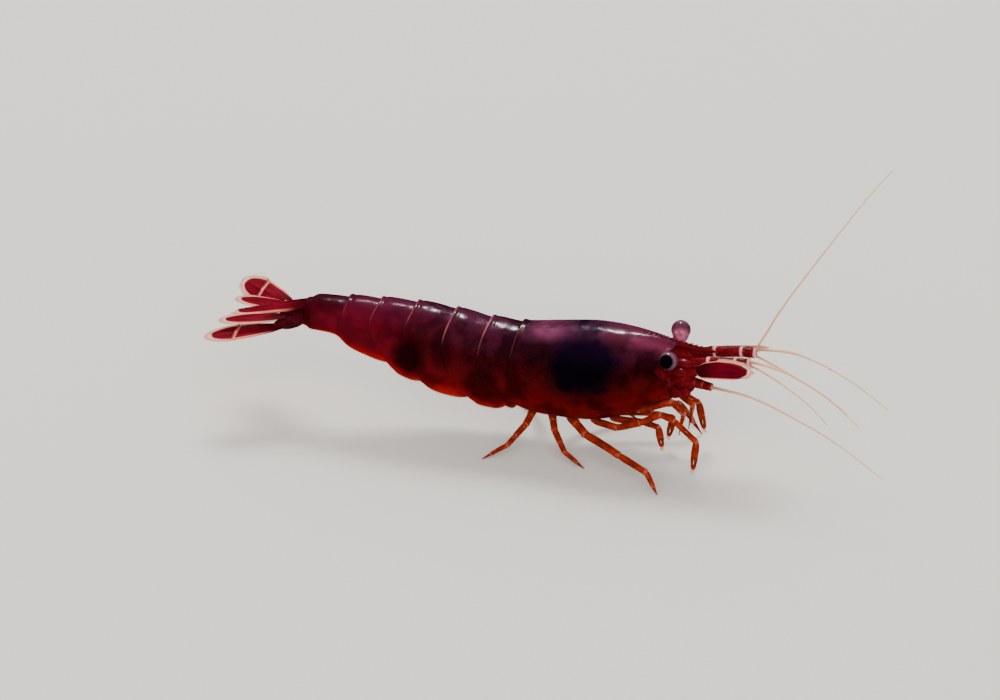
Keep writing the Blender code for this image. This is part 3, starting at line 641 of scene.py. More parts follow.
def chitin_body():
    """Wet chitin of the body, seen as under water: dense plum and red pigment cells below a clear
    cuticle, so its colour is deep and mottled close up, and its gloss is weak but sharp."""
    paint = colours()
    material, tree, shader = start_material(
        "Chitin_plum_red",
        IOR=1.38,
        Subsurface_Weight=0.1,
        Subsurface_Scale=0.2 * MM,
        Subsurface_Radius=(1.0, 0.2, 0.1),
    )
    where = add_node(tree, "ShaderNodeTexCoord").outputs["Object"]
    pattern = add_node(tree, "ShaderNodeUVMap", uv_map="Pattern")
    split = add_node(tree, "ShaderNodeSeparateXYZ", {0: pattern})
    behind, depth = split.outputs[0], split.outputs[1]
    place = add_node(tree, "ShaderNodeSeparateXYZ", {0: where})
    lengthwise, upright = place.outputs[0], place.outputs[2]
    # Colour by depth, from the back down to the lower edge. The lower edges are red, and below a depth of
    # 0.93 they are painted two to four times brighter, paling at the very rim: a painted glow of light
    # shining through the thin edges from behind.
    stops = [
        (0.0, paint.back),
        (0.14, blended(paint.back, paint.flank, 0.55)),
        (0.36, paint.flank),
        (0.7, blended(paint.flank, paint.lower, 0.5)),
        (0.84, paint.lower),
        (0.93, shaded(paint.lower, 2.1)),
        (0.97, shaded(paint.lower, 2.6)),
        (1.0, blended(shaded(paint.lower, 4), paint.pale, 0.5)),
    ]
    colour = add_node(tree, "ShaderNodeValToRGB", {0: depth}, stops)
    # The lower edge of the carapace is darker than those of the abdomen's plates.
    share = add_node(tree, "ShaderNodeMapRange", {0: depth, 1: 0.72, 2: 0.9, 3: 0.0, 4: 0.72}, **SOFT)
    reach = add_node(tree, "ShaderNodeMapRange", along_body(lengthwise, -3.9, -2.9), **SOFT)
    share = add_node(tree, "ShaderNodeMath", {0: share, 1: reach}, **TIMES)
    colour = add_node(tree, "ShaderNodeMix", {0: share, 6: colour, 7: shaded(paint.lower, 0.75)}, **RGBA)
    # Towards the tail the shell is redder, less so along the back and at the lower edge, and its rear
    # end is dark again.
    for x_from, x_to, most, tint in (
        (-4.0, -14.0, 0.8, paint.tail),
        (-13.8, -14.85, 0.8, shaded(paint.flank, 0.5)),
    ):
        reach = along_body(lengthwise, x_from, x_to, 0.0, most)
        share = add_node(tree, "ShaderNodeMapRange", reach, **SOFT)
        below = add_node(tree, "ShaderNodeMapRange", {0: depth, 1: 0.95, 2: 0.8, 3: 0.35, 4: 1.0}, **SOFT)
        share = add_node(tree, "ShaderNodeMath", {0: share, 1: below}, **TIMES)
        above = add_node(tree, "ShaderNodeMapRange", {0: depth, 1: 0.02, 2: 0.25, 3: 0.5, 4: 1.0}, **SOFT)
        share = add_node(tree, "ShaderNodeMath", {0: share, 1: above}, **TIMES)
        colour = add_node(tree, "ShaderNodeMix", {0: share, 6: colour, 7: tint}, **RGBA)
    # Pigment cells about 0.14 mm across, and dark clouds about 1.5 mm wide, weaker towards the tail.
    cells = add_node(tree, "ShaderNodeTexVoronoi", {"Vector": where, "Scale": 1 / (0.14 * MM)})
    clouds = add_node(tree, "ShaderNodeTexNoise", {"Vector": where, "Scale": 1 / (1.5 * MM), "Detail": 5})
    cell_mask = add_node(tree, "ShaderNodeMapRange", {0: cells, 1: 0.45, 2: 0.12, 3: 0.0, 4: 0.35}, **SOFT)
    cell_tint = blended(paint.tail, paint.lower, 0.5)
    colour = add_node(tree, "ShaderNodeMix", {0: cell_mask, 6: colour, 7: cell_tint}, **RGBA)
    dark_share = along_body(lengthwise, -13.0, -4.0, 0.35, 0.7)
    dark_share = add_node(tree, "ShaderNodeMapRange", dark_share, **SOFT)
    dense = add_node(tree, "ShaderNodeMapRange", {0: clouds, 1: 0.46, 2: 0.62}, **SOFT)
    cloud_mask = add_node(tree, "ShaderNodeMath", {0: dense, 1: dark_share}, **TIMES)
    cloud_tint = shaded(paint.flank, 0.25)
    colour = add_node(tree, "ShaderNodeMix", {0: cloud_mask, 6: colour, 7: cloud_tint}, **RGBA)
    # The upper side of the carapace has a mauve sheen painted into its colour, a painted highlight of light
    # glancing off it, thinner where the clouds are.
    painted_sheen = add_node(tree, "ShaderNodeMapRange", {0: clouds, 1: 0.58, 2: 0.44, 3: 0.3, 4: 0.8}, **SOFT)
    for limits in (
        {0: depth, 1: -0.02, 2: 0.03},
        {0: depth, 1: 0.14, 2: 0.03},
        along_body(lengthwise, -3.7, -2.3),
        along_body(lengthwise, 3.4, 0.5, 0.6, 1.0),
    ):
        share = add_node(tree, "ShaderNodeMapRange", limits, **SOFT)
        painted_sheen = add_node(tree, "ShaderNodeMath", {0: painted_sheen, 1: share}, **TIMES)
    frontward = along_body(lengthwise, -0.5, 2.5, 0.0, 0.55)
    frontward = add_node(tree, "ShaderNodeMapRange", frontward, **SOFT)
    painted_sheen_tint = add_node(tree, "ShaderNodeMix", {0: frontward, 6: paint.painted_sheen, 7: paint.head}, **RGBA)
    colour = add_node(tree, "ShaderNodeMix", {0: painted_sheen, 6: colour, 7: painted_sheen_tint}, **RGBA)
    violet_reach = {0: upright, 1: (5.0 + SHIFT.z) * MM, 2: (6.3 + SHIFT.z) * MM}
    violet = add_node(tree, "ShaderNodeMapRange", violet_reach, **SOFT)
    organs = add_node(tree, "ShaderNodeMix", {0: violet, 6: paint.saddle, 7: linear("#0C0218")}, **RGBA)
    for centre, reach, strength in DARK_PATCHES:
        centred = {"Vector": where, "Location": [-c * MM for c in Vector(centre) + SHIFT]}
        patch = add_node(tree, "ShaderNodeMapping", centred, vector_type="POINT")
        squeezed = {0: patch, 1: [1 / (r * MM) for r in reach]}
        squeezed = add_node(tree, "ShaderNodeVectorMath", squeezed, **TIMES)
        distance = add_node(tree, "ShaderNodeVectorMath", {0: squeezed}, operation="LENGTH")
        ragged = add_node(tree, "ShaderNodeMath", {0: clouds, 1: 1.6, 2: distance}, operation="MULTIPLY_ADD")
        patch_mask = {0: ragged, 1: 2.15, 2: 1.35, 3: 0.0, 4: strength}
        patch_mask = add_node(tree, "ShaderNodeMapRange", patch_mask, **SOFT)
        tint = organs if strength > 0.9 else shaded(paint.flank, 0.2)
        colour = add_node(tree, "ShaderNodeMix", {0: patch_mask, 6: colour, 7: tint}, **RGBA)
    # A pale line follows the rear rim of each plate near the back. It is faint on the carapace and
    # towards the tail.
    line = add_node(tree, "ShaderNodeMapRange", {0: behind, 1: 0.11, 2: 0.05, 3: 0.0, 4: 0.5}, **SOFT)
    for limits in (
        {0: depth, 1: 0.36, 2: 0.08},
        {0: clouds, 1: 0.6, 2: 0.4, 3: 0.35, 4: 1.0},
        along_body(lengthwise, -4.3, -3.5, 1.0, 0.4),
        along_body(lengthwise, -11.0, -5.5, 0.3, 1.0),
    ):
        share = add_node(tree, "ShaderNodeMapRange", limits, **SOFT)
        line = add_node(tree, "ShaderNodeMath", {0: line, 1: share}, **TIMES)
    line_tint = blended(paint.pale, paint.painted_sheen, 0.4)
    colour = add_node(tree, "ShaderNodeMix", {0: line, 6: colour, 7: line_tint}, **RGBA)
    tree.links.new(colour.outputs[2], shader.inputs["Base Color"])
    pits = shell_relief(tree, shader, where, 0.2, 0.015, wave=0.4)
    rough = add_node(tree, "ShaderNodeMapRange", {0: pits, 1: 0.3, 2: 0.7, 3: 0.19, 4: 0.27}, **SOFT)
    tree.links.new(rough.outputs[0], shader.inputs["Roughness"])
    # The gloss fades towards the tail.
    gloss = along_body(lengthwise, -9.5, -7.0, 0.13, 0.42)
    gloss = add_node(tree, "ShaderNodeMapRange", gloss, **SOFT)
    tree.links.new(gloss.outputs[0], shader.inputs["Specular IOR Level"])
    return material


def chitin_limb(name, tint, glow):
    """Thin wet chitin of a limb: clear enough for light to glow through its pigment, blotched, and
    paler where one segment hinges on the next."""
    paint = colours()
    material, tree, shader = start_material(
        name,
        IOR=1.38,
        Specular_IOR_Level=0.35,
        Subsurface_Weight=glow,
        Subsurface_Scale=0.2 * MM,
        Subsurface_Radius=(1.0, 0.3, 0.12),
    )
    where = add_node(tree, "ShaderNodeTexCoord").outputs["Object"]
    pattern = add_node(tree, "ShaderNodeUVMap", uv_map="Pattern")
    along = add_node(tree, "ShaderNodeSeparateXYZ", {0: pattern})
    soft = blended(tint, paint.pale, 0.1)
    stops = [(0.0, soft), (0.07, tint), (0.5, shaded(tint, 0.6)), (0.9, tint), (0.98, soft)]
    colour = add_node(tree, "ShaderNodeValToRGB", {0: along}, stops)
    blotches = add_node(tree, "ShaderNodeTexNoise", {"Vector": where, "Scale": 1 / (0.25 * MM), "Detail": 3})
    darker = add_node(tree, "ShaderNodeMapRange", {0: blotches, 1: 0.42, 2: 0.62, 3: 0.0, 4: 0.6}, **SOFT)
    colour = add_node(tree, "ShaderNodeMix", {0: darker, 6: colour, 7: shaded(tint, 0.3)}, **RGBA)
    tree.links.new(colour.outputs[2], shader.inputs["Base Color"])
    pits = shell_relief(tree, shader, where, 0.1, 0.25)
    rough = add_node(tree, "ShaderNodeMapRange", {0: pits, 1: 0.3, 2: 0.7, 3: 0.2, 4: 0.36}, **SOFT)
    tree.links.new(rough.outputs[0], shader.inputs["Roughness"])
    return material


def chitin_blade(name, tint, margin, seamed, pale_root=0.0):
    """Paper-thin chitin of a blade: wine-red between pale edges, each a margin's share of the width
    and creamier at the tip, and on the outer tail blades a pale seam that slants across. pale_root is how
    much of the pale edge is left at the root."""
    paint = colours()
    material, tree, shader = start_material(
        name,
        IOR=1.38,
        Roughness=0.22,
        Specular_IOR_Level=0.08,
        Subsurface_Weight=0.1,
        Subsurface_Scale=0.12 * MM,
        Subsurface_Radius=(1.0, 0.3, 0.2),
    )
    where = add_node(tree, "ShaderNodeTexCoord").outputs["Object"]
    pattern = add_node(tree, "ShaderNodeUVMap", uv_map="Pattern")
    split = add_node(tree, "ShaderNodeSeparateXYZ", {0: pattern})
    along, across = split.outputs[0], split.outputs[1]
    centred = add_node(tree, "ShaderNodeMath", {0: across, 1: 0.5}, operation="SUBTRACT")
    outward = add_node(tree, "ShaderNodeMath", {0: centred}, operation="ABSOLUTE")
    # Fine streaks run the length of the blade, about 25 across its width.
    drawn_out = add_node(tree, "ShaderNodeVectorMath", {0: pattern, 1: (2.2, 25.0, 1.0)}, **TIMES)
    streaks = add_node(tree, "ShaderNodeTexNoise", {"Vector": drawn_out, "Scale": 1.0, "Detail": 4})
    streaked = add_node(tree, "ShaderNodeMapRange", {0: streaks, 1: 0.35, 2: 0.65}, **SOFT)
    ends = {0: streaked, 6: shaded(tint, 0.55), 7: shaded(tint, 1.3)}
    colour = add_node(tree, "ShaderNodeMix", ends, **RGBA)
    root = add_node(tree, "ShaderNodeMapRange", {0: along, 1: 0.46, 2: 0.1, 3: 0.0, 4: 0.88}, **SOFT)
    colour = add_node(tree, "ShaderNodeMix", {0: root, 6: colour, 7: shaded(tint, 0.2)}, **RGBA)
    # The dark face ends in a rounded shape: its share of the width and of the length, each to a power.
    edge = add_node(tree, "ShaderNodeMath", {0: outward, 1: 1 / (0.5 - 0.75 * margin)}, **TIMES)
    edge = add_node(tree, "ShaderNodeMath", {0: edge, 1: 6.0}, operation="POWER")
    tip = add_node(tree, "ShaderNodeMath", {0: along, 1: 1 / 0.95}, **TIMES)
    tip = add_node(tree, "ShaderNodeMath", {0: tip, 1: 14.0}, operation="POWER")
    pale = add_node(tree, "ShaderNodeMath", {0: edge, 1: tip}, operation="ADD")
    pale = add_node(tree, "ShaderNodeMapRange", {0: pale, 1: 0.75, 2: 1.35}, **SOFT)
    if seamed:
        slanted = {0: across, 1: SEAM_SLANT, 2: along}
        slanted = add_node(tree, "ShaderNodeMath", slanted, operation="MULTIPLY_ADD")
        from_seam = add_node(tree, "ShaderNodeMath", {0: slanted, 1: SEAM_AT}, operation="SUBTRACT")
        off_seam = add_node(tree, "ShaderNodeMath", {0: from_seam}, operation="ABSOLUTE")
        seam = add_node(tree, "ShaderNodeMapRange", {0: off_seam, 1: 0.028, 2: 0.012}, **SOFT)
        pale = add_node(tree, "ShaderNodeMath", {0: pale, 1: seam}, operation="MAXIMUM")
    fade_in = {0: along, 1: 0.15, 2: 0.48, 3: pale_root, 4: 0.94}
    fade_in = add_node(tree, "ShaderNodeMapRange", fade_in, **SOFT)
    most = add_node(tree, "ShaderNodeMath", {0: pale, 1: fade_in}, **TIMES)
    tipward = add_node(tree, "ShaderNodeMapRange", {0: along, 1: 0.7, 2: 0.97}, **SOFT)
    cream = add_node(tree, "ShaderNodeMix", {0: tipward, 6: paint.pale, 7: paint.cream}, **RGBA)
    colour = add_node(tree, "ShaderNodeMix", {0: most, 6: colour, 7: cream}, **RGBA)
    tree.links.new(colour.outputs[2], shader.inputs["Base Color"])
    shell_relief(tree, shader, where, 0.12, 0.2)
    return material


def chitin_feeler():
    """Many-ringed chitin of the feelers: cream-orange, redder where they start, with a dull gloss."""
    paint = colours()
    material, tree, shader = start_material(
        "Chitin_ringed_feeler",
        IOR=1.56,
        Roughness=0.4,
        Subsurface_Weight=0.3,
        Subsurface_Scale=0.1 * MM,
        Subsurface_Radius=(1.0, 0.5, 0.3),
    )
    place = add_node(tree, "ShaderNodeAttribute", attribute_name="along").outputs["Fac"]
    red = blended(paint.feeler, paint.blade, 0.6)
    stops = [(0.0, red), (0.16, paint.feeler), (1.0, paint.feeler)]
    colour = add_node(tree, "ShaderNodeValToRGB", {0: place}, stops)
    tree.links.new(colour.outputs[0], shader.inputs["Base Color"])
    return material


def plain(name, hex_colour, **uniform):
    """A material of one colour all over."""
    return start_material(name, Base_Color=linear(hex_colour), **uniform)[0]


def eye_surface():
    """The eye's clear, many-faceted skin over black pigment: near-black with a sharp wet highlight,
    and a wide greyish mauve ring round it where the pigment ends."""
    paint = colours()
    material, tree, shader = start_material("Cornea_black", IOR=1.4, Roughness=0.16)
    pattern = add_node(tree, "ShaderNodeUVMap", uv_map="Pattern")
    along = add_node(tree, "ShaderNodeSeparateXYZ", {0: pattern})
    plum = shaded(paint.stalk, 0.22)
    stops = [(0.0, paint.stalk), (0.22, paint.stalk), (0.44, plum), (0.56, plum)]
    stops += [(0.65, paint.eye_ring), (0.69, paint.eye_ring), (0.79, paint.eye), (1.0, paint.eye)]
    colour = add_node(tree, "ShaderNodeValToRGB", {0: along}, stops)
    where = add_node(tree, "ShaderNodeTexCoord").outputs["Object"]
    # The ring is painted darker towards its lower rear side: painted shade where less light falls on it.
    slope = add_node(tree, "ShaderNodeVectorMath", {0: where, 1: (1, 0, 1)}, operation="DOT_PRODUCT")
    shift = SHIFT.x + SHIFT.z
    painted_shade = {0: slope.outputs[1], 1: (10.15 + shift) * MM, 2: (11.1 + shift) * MM, 3: 0.85, 4: 0.0}
    painted_shade = add_node(tree, "ShaderNodeMapRange", painted_shade, **SOFT)
    ringward = add_node(tree, "ShaderNodeMapRange", {0: along, 1: 0.4, 2: 0.6}, **SOFT)
    painted_shade = add_node(tree, "ShaderNodeMath", {0: painted_shade, 1: ringward}, **TIMES)
    colour = add_node(tree, "ShaderNodeMix", {0: painted_shade, 6: colour, 7: paint.eye}, **RGBA)
    tree.links.new(colour.outputs[2], shader.inputs["Base Color"])
    # The facets are drawn at 0.05 mm, about twice their real spacing, so that they show.
    facets = add_node(tree, "ShaderNodeTexVoronoi", {"Vector": where, "Scale": 1 / (0.05 * MM)})
    relief = add_node(tree, "ShaderNodeBump", {"Strength": 0.12, "Distance": 0.004 * MM, "Height": facets})
    tree.links.new(relief.outputs[0], shader.inputs["Normal"])
    return material


MAKERS = {
    "body": chitin_body,
    "limb": lambda: chitin_limb("Chitin_orange_red", colours().limb, 0.3),
    "head": lambda: chitin_limb("Chitin_dark_red", colours().head, 0.1),
    "tail base": lambda: chitin_limb("Chitin_dark_plum", shaded(colours().tail, 0.6), 0.1),
    "stalk": lambda: chitin_limb("Chitin_mauve", colours().stalk, 0.2),
    "scale": lambda: chitin_blade("Chitin_feeler_scale", colours().scale, 0.08, seamed=False, pale_root=0.8),
    "blade": lambda: chitin_blade("Chitin_thin_blade", colours().blade, 0.12, seamed=False),
    "seamed blade": lambda: chitin_blade("Chitin_seamed_blade", colours().blade, 0.1, seamed=True),
    "feeler": chitin_feeler,
    "eye": eye_surface,
    # Soft membrane between segments: duller than the shell and slightly translucent.
    "membrane": lambda: plain(
        "Joint_membrane", "#A85634", Roughness=0.45, Subsurface_Weight=0.4, Subsurface_Scale=0.2 * MM
    ),
    # The pale collars on the bases of the short feelers.
    "collar": lambda: plain("Pale_collar", "#D096A0", Roughness=0.4, IOR=1.38),
    # Bristles: fine clear chitin that reads as whitish.
    "bristle": lambda: plain("Bristle_clear_chitin", "#E8A68C", Roughness=0.5, IOR=1.38),
    # Teeth and spines: the shell's own chitin, denser and darker red.
    "spine": lambda: plain("Chitin_spine", "#6A1A1C", Roughness=0.3, IOR=1.38),
    # Muscle seen between the side plates: dark red, moist.
    "flesh": lambda: plain(
        "Moist_red_muscle", "#4A0A0A", Roughness=0.35, Subsurface_Weight=0.2, Subsurface_Scale=0.4 * MM
    ),
}


MATERIAL_NAMES = {}


def material_of(key):
    """The material of a kind of surface, made when it is first asked for."""
    made = bpy.data.materials.get(MATERIAL_NAMES.get(key, ""))
    if made is None:
        made = MAKERS[key]()
        MATERIAL_NAMES[key] = made.name
    return made


# --- Shell plates ------------------------------------------------------------------------------------


def plate_grid(rear, front, rows, columns, hem_rise, relief):
    """The outer face of a plate and its pattern map, which holds the distance from the rear rim in
    millimetres and the depth. rear and front give x at a depth, hem_rise gives how far the lower edge
    stands up, and relief how far the face stands out, in millimetres."""
    points = np.zeros((rows, columns, 3))
    uvs = np.zeros((rows, columns, 2))
    lift = np.zeros((rows, columns))
    for j in range(columns):
        s = 1 - 2 * j / (columns - 1)
        side, s = (1 if s >= 0 else -1), abs(s)
        upper = s < SHOULDER
        turn = math.pi / 2 * s / SHOULDER
        t = (s - SHOULDER) / (1 - SHOULDER)
        depth = UPPER_SHARE * (1 - math.cos(turn)) if upper else UPPER_SHARE + (1 - UPPER_SHARE) * t
        for i in range(rows):
            u = i / (rows - 1)
            x = mix(rear(depth), front(depth), u)
            body = body_at(x)
            if upper:
                y = body.half_width * math.sin(turn)
                z = body.widest + (body.top - body.widest) * math.cos(turn)
            else:
                y = mix(body.half_width, body.hem_half, t * t)
                z = mix(body.widest, body.hem + hem_rise(u), t)
            points[i, j] = (x, y * side, z)
            uvs[i, j] = (u * (front(depth) - rear(depth)), depth)
            lift[i, j] = relief(u, depth, x, front(depth) - rear(depth))
    return points - grid_normals(points) * lift[..., None], uvs


def shell_plate(name, rear, front, rows, columns, hem_rise, relief, pale_rim=True):
    """A shell plate from its grid, with short hairs along its lower edge. Without a pale rim its pattern
    map starts a millimetre in, past the pale line."""
    points, uvs = plate_grid(rear, front, rows, columns, hem_rise, relief)
    if not pale_rim:
        uvs[..., 0] += 1
    plate = sheet(name, points, uvs, sizes().plate / MM, material_of("body"), flip=True)
    rng = np.random.default_rng(rows)
    spots = []
    for j, side in ((0, 1), (-1, -1)):
        hem = points[:, j]
        for t in np.arange(1.5, rows - 1.5, 0.5):
            spot = mix(hem[int(t)], hem[int(t) + 1], t % 1)
            way = (-0.5 + 0.3 * rng.random(), 0.25 * side, -1)
            spots.append((spot + (0, -0.04 * side, 0.03), way, 0.08 + 0.07 * rng.random()))
    hairs = bristles(name + "_hairs", spots, material_of("spine"), width=0.014, tip=0.3)
    return joined(name, [plate, hairs])


def build_carapace_shell():
    def rear(depth):
        return border_x(BORDERS[6], depth) - 0.14

    def front(depth):
        return border_x(BORDERS[7], depth)

    def relief(u, depth, x, length):
        from_front = (1 - u) * length
        crest = 0.16 * ease((x - 1.6) / 2.6) * bump(depth, 0.012)
        orbit_rim = 0.035 * bump(from_front - 0.05, 0.07)
        rear_rim = 0.05 * bump(u * length - 0.06, 0.09)
        gill_swell = 0.03 * bump(x + 0.4, 1.8) * bump(depth - 0.7, 0.18)
        groove = -0.03 * bump(x - (2.2 - 0.9 * depth), 0.14) * bump(depth - 0.45, 0.3)
        return 0.03 + crest + orbit_rim + rear_rim + gill_swell + groove

    def hem_rise(u):
        return LOBE_RISE * max(1 - u / 0.15, 0.0) ** 2

    shell = shell_plate("carapace_shell", rear, front, 90, 97, hem_rise, relief)
    # A spine points forward from the front edge on each cheek.
    cheek_depth = 0.64
    x = front(cheek_depth) - 0.12
    body = body_at(x)
    t = (cheek_depth - UPPER_SHARE) / (1 - UPPER_SHARE)
    y, z = mix(body.half_width, body.hem_half, t * t), mix(body.widest, body.hem, t)
    spots = [((x, y * sign, z), (1, 0.1 * sign, 0.06), 0.36) for sign in (1, -1)]
    spines = bristles("cheek_spines", spots, material_of("spine"), width=0.09, tip=0.1, spread=0)
    return joined("carapace_shell", [shell, spines])


def build_abdomen_plate(i):
    rear_border, front_border = BORDERS[i], BORDERS[i + 1]
    last, second, first = i == 0, i == 4, i == 5

    def rear(depth):
        return border_x(rear_border, depth) - (0.02 if last else 0.12)

    def front(depth):
        tuck = 0.30
        if second:
            tuck += 0.12 * float(ease((depth - 0.55) / 0.25))
        return border_x(front_border, depth) + tuck

    def relief(u, depth, x, length):
        behind = u * length
        over = mix(0.055, -0.075, float(ease((u - 0.15) / 0.8)))
        if last:
            over -= 0.17 * float(ease((0.24 - u) / 0.24))
        if second:
            over = mix(over, 0.075, float(ease((depth - 0.55) / 0.2)) * float(ease((u - 0.3) / 0.4)))
        if first:
            over -= 0.09 * float(ease((depth - 0.5) / 0.2)) * float(ease((0.6 - u) / 0.4))
        rim = 0.022 * bump(behind - 0.07, 0.07) - 0.018 * bump(behind - 0.24, 0.07)
        hem_bead = 0.02 * bump(depth - 0.97, 0.03)
        return over + rim + hem_bead

    def hem_rise(u):
        if last:
            return LOBE_RISE * 0.5 * u * u
        return LOBE_RISE * abs(2 * min(u * 1.12, 1) - 1) ** 3

    return shell_plate(f"abdomen_shell_{6 - i}", rear, front, 34, 73, hem_rise, relief, pale_rim=not last)


def build_flesh():
    """The flesh inside the shell, from just under its roof down to the belly channel."""
    roof_gap, side_gap = 0.3, 0.34
    xs = np.linspace(-15.0, 3.2, 60)
    route, radii, squeeze = [], [], []
    for x in xs:
        body = body_at(x)
        low = body.hem + CHANNEL
        route.append((x, 0, (body.top - roof_gap + low) / 2))
        radii.append((body.top - roof_gap - low) / 2)
        squeeze.append((body.half_width - side_gap) / radii[-1])

    def squeezed(points):
        points[:, 1] *= np.interp(points[:, 0], xs, squeeze)
        return points

    return reshaped(rod("body_flesh", route, radii, material_of("flesh"), sides=28), squeezed)


# --- Rostrum -----------------------------------------------------------------------------------------

# The blade runs from inside the shell almost to the tip of its outline, and is free from the second x.
ROSTRUM_START, ROSTRUM_FREE, ROSTRUM_END, ROSTRUM_TIP = 2.3, 2.9, 6.5, 6.55


def rostrum_edges(x):
    """Upper and lower edge of the rostrum, and its half thickness, at x."""
    t = (x - ROSTRUM_FREE) / (ROSTRUM_TIP - ROSTRUM_FREE)
    top = mix(6.80, 6.24, max(t, 0) ** 1.25) - 0.02 * math.sin(math.pi * max(t, 0)) + 0.02
    if t < 0:
        top = body_at(x).top + 0.1 * float(ease((x - ROSTRUM_START) / 0.6))
    places = [ROSTRUM_START, 3.6, 4.4, 5.0, 5.6, 6.1, ROSTRUM_TIP]
    low = float(np.interp(x, places, [6.5, 6.3, 6.18, 6.1, 6.04, 6.07, 6.2]))
    half = float(np.interp(x, [ROSTRUM_START, 3.6, 4.6, 5.6, ROSTRUM_TIP], [0.10, 0.13, 0.12, 0.07, 0.02]))
    return top, low, half


def build_rostrum_blade():
    rows, ring = 46, []
    for x in np.linspace(ROSTRUM_START, ROSTRUM_END, rows):
        top, low, half = rostrum_edges(x)
        ridge = mix(low, top, 0.42)
        profile = [(0, top), (0.35, mix(top, ridge, 0.35)), (0.55, mix(top, ridge, 0.75)), (1.0, ridge)]
        profile += [(0.5, mix(ridge, low, 0.4)), (0.28, mix(ridge, low, 0.8)), (0, low)]
        other_side = [(-y, z) for y, z in profile[-2:0:-1]]
        ring.append([(x, half * y, z) for y, z in profile + other_side])
    points = np.array(ring)
    count = points.shape[1]
    index = np.arange(rows * count).reshape(rows, count)
    after = np.roll(index, -1, axis=1)
    faces = [tuple(q) for q in np.stack([index[:-1], index[1:], after[1:], after[:-1]], -1).reshape(-1, 4)]
    faces += [tuple(index[0]), tuple(index[-1][::-1])]
    # The whole blade takes the colour that a limb's segment has in its middle.
    uvs = np.zeros((rows, count, 2)) + (0.5, 0.12)
    blade = to_object("rostrum_blade", points, faces, material_of("head"), uvs)
    spots = []
    for x in np.linspace(2.55, 6.15, sizes().rostrum_teeth):
        spots.append(((x, 0, rostrum_edges(x)[0] - 0.05), (0.85, 0, 0.42), 0.24))
    for x in np.linspace(5.3, 6.1, 5):
        spots.append(((x, 0, rostrum_edges(x)[1] + 0.03), (0.9, 0, -0.35), 0.16))
    spots.append(((ROSTRUM_END - 0.05, 0, 6.2), (1, 0, 0.05), 0.14))
    teeth = bristles("rostrum_teeth", spots, material_of("spine"), width=0.10, tip=0.1, spread=0.0)
    return joined("rostrum_shell", [blade, teeth])


# --- Blades ------------------------------------------------------------------------------------------


def blade_space(root, tip, roll):
    """Axes of a blade: along it, across it and out of its upper face."""
    along = (Vector(tip) - Vector(root)).normalized()
    across = Vector((0, 0, 1)).cross(along).normalized()
    turn = Matrix.Rotation(roll, 3, along)
    across = turn @ across
    return along, across, along.cross(across)


def leaf_blade(
    name, ends, reaches, roll, camber, thickness, material, rows=44, columns=17, ridge=0.0, turned=False
):
    """A thin blade between its ends, root and tip. reaches are two functions that give how far it goes to
    the left and to the right at a share of its length, camber is how far it is arched, ridge the height
    of its middle rib, and turned mirrors its pattern map. Returns the object and its rim, as (point,
    outward direction, share of length, side, way along the rim)."""
    (root, tip), (left_of, right_of) = ends, reaches
    along, across, up = blade_space(root, tip, roll)
    length = (Vector(tip) - Vector(root)).length
    points = np.zeros((rows, columns, 3))
    uvs = np.zeros((rows, columns, 2))
    for i in range(rows):
        t = math.sin(math.pi / 2 * i / (rows - 1))
        for j in range(columns):
            s = 2 * j / (columns - 1) - 1
            reach = left_of(t) if s > 0 else right_of(t)
            rise = camber * (1 - s * s) - 0.12 * camber * t + ridge * bump(s, 0.13) * (1 - 0.7 * t)
            spot = Vector(root) + along * (length * t) + across * (reach * s) + up * rise
            points[i, j] = spot
            uvs[i, j] = (t, (1 - s if turned else 1 + s) / 2)
    made = sheet(name, points, uvs, thickness, material)
    rim = []
    for j, sign in ((columns - 1, 1), (0, -1)):
        edge = points[:, j]
        ways = np.gradient(edge, axis=0)
        for i in range(1, rows):
            way = Vector(ways[i])
            out = way.cross(up) * -sign
            if out.length > 1e-9:
                rim.append((Vector(edge[i]), out.normalized(), uvs[i, j, 0], sign, way.normalized()))
    return made, rim


def fringe(name, rim, keep_if, length_of, each, lean, seed):
    """Bristles along part of a blade's rim, leaning towards its tip: each of them between two points of
    the rim, where keep_if says so for a share of the length and a side."""
    spots = []
    rng = np.random.default_rng(seed)
    for (a, out_a, ta, sign, way), (b, out_b, _, sign_b, _) in zip(rim, rim[1:]):
        if sign != sign_b or not keep_if(ta, sign):
            continue
        for k in range(each):
            t = (k + rng.random() * 0.4) / each
            spot = a.lerp(b, t) - out_a * 0.03
            direction = (out_a.lerp(out_b, t) + way * lean).normalized()
            spots.append((spot, direction, length_of(ta) * (0.85 + 0.3 * rng.random())))
    return bristles(name, spots, material_of("bristle"), width=0.026, tip=0.3, spread=0.05, seed=seed)


def oval(half_width, widest_at, root_half):
    """Reach of a leaf-shaped edge, widest at a share of its length, with a round end."""

    def reach(t):
        if t < widest_at:
            return mix(root_half, half_width, math.sin(math.pi / 2 * t / widest_at))
        return half_width * math.sqrt(max(1 - ((t - widest_at) / (1 - widest_at)) ** 2, 0.0009))

    return reach


# Root and tip of each blade, and the route of an arm with y outward.
TELSON = [(-14.5, 0, 5.97), (-18.5, 0, 4.82)]
FAN_ARMS = [(-14.8, 0.36, 5.22), (-15.4, 0.58, 5.07), (-16.2, 0.92, 4.92)]
INNER_BLADES = {
    "left": [(-15.6, 0.72, 5.2), (-18.72, 1.35, 4.9)],
    "right": [(-15.6, -0.7, 5.38), (-18.78, -1.28, 5.0)],
}
OUTER_BLADES = {
    "left": [(-15.6, 0.78, 5.04), (-18.85, 2.83, 5.18)],
    "right": [(-15.5, -0.74, 4.93), (-19.26, -2.28, 4.48)],
}
# How far the blades' outer edges stand up, in degrees; the two sides are not held quite alike.
OUTER_ROLLS = {"left": 18, "right": 1}
INNER_ROLLS = {"left": 4, "right": -3}
# The seam across an outer blade: its share of the length at the outer edge, and how far it slants.
SEAM_AT, SEAM_SLANT = 0.71, 0.14


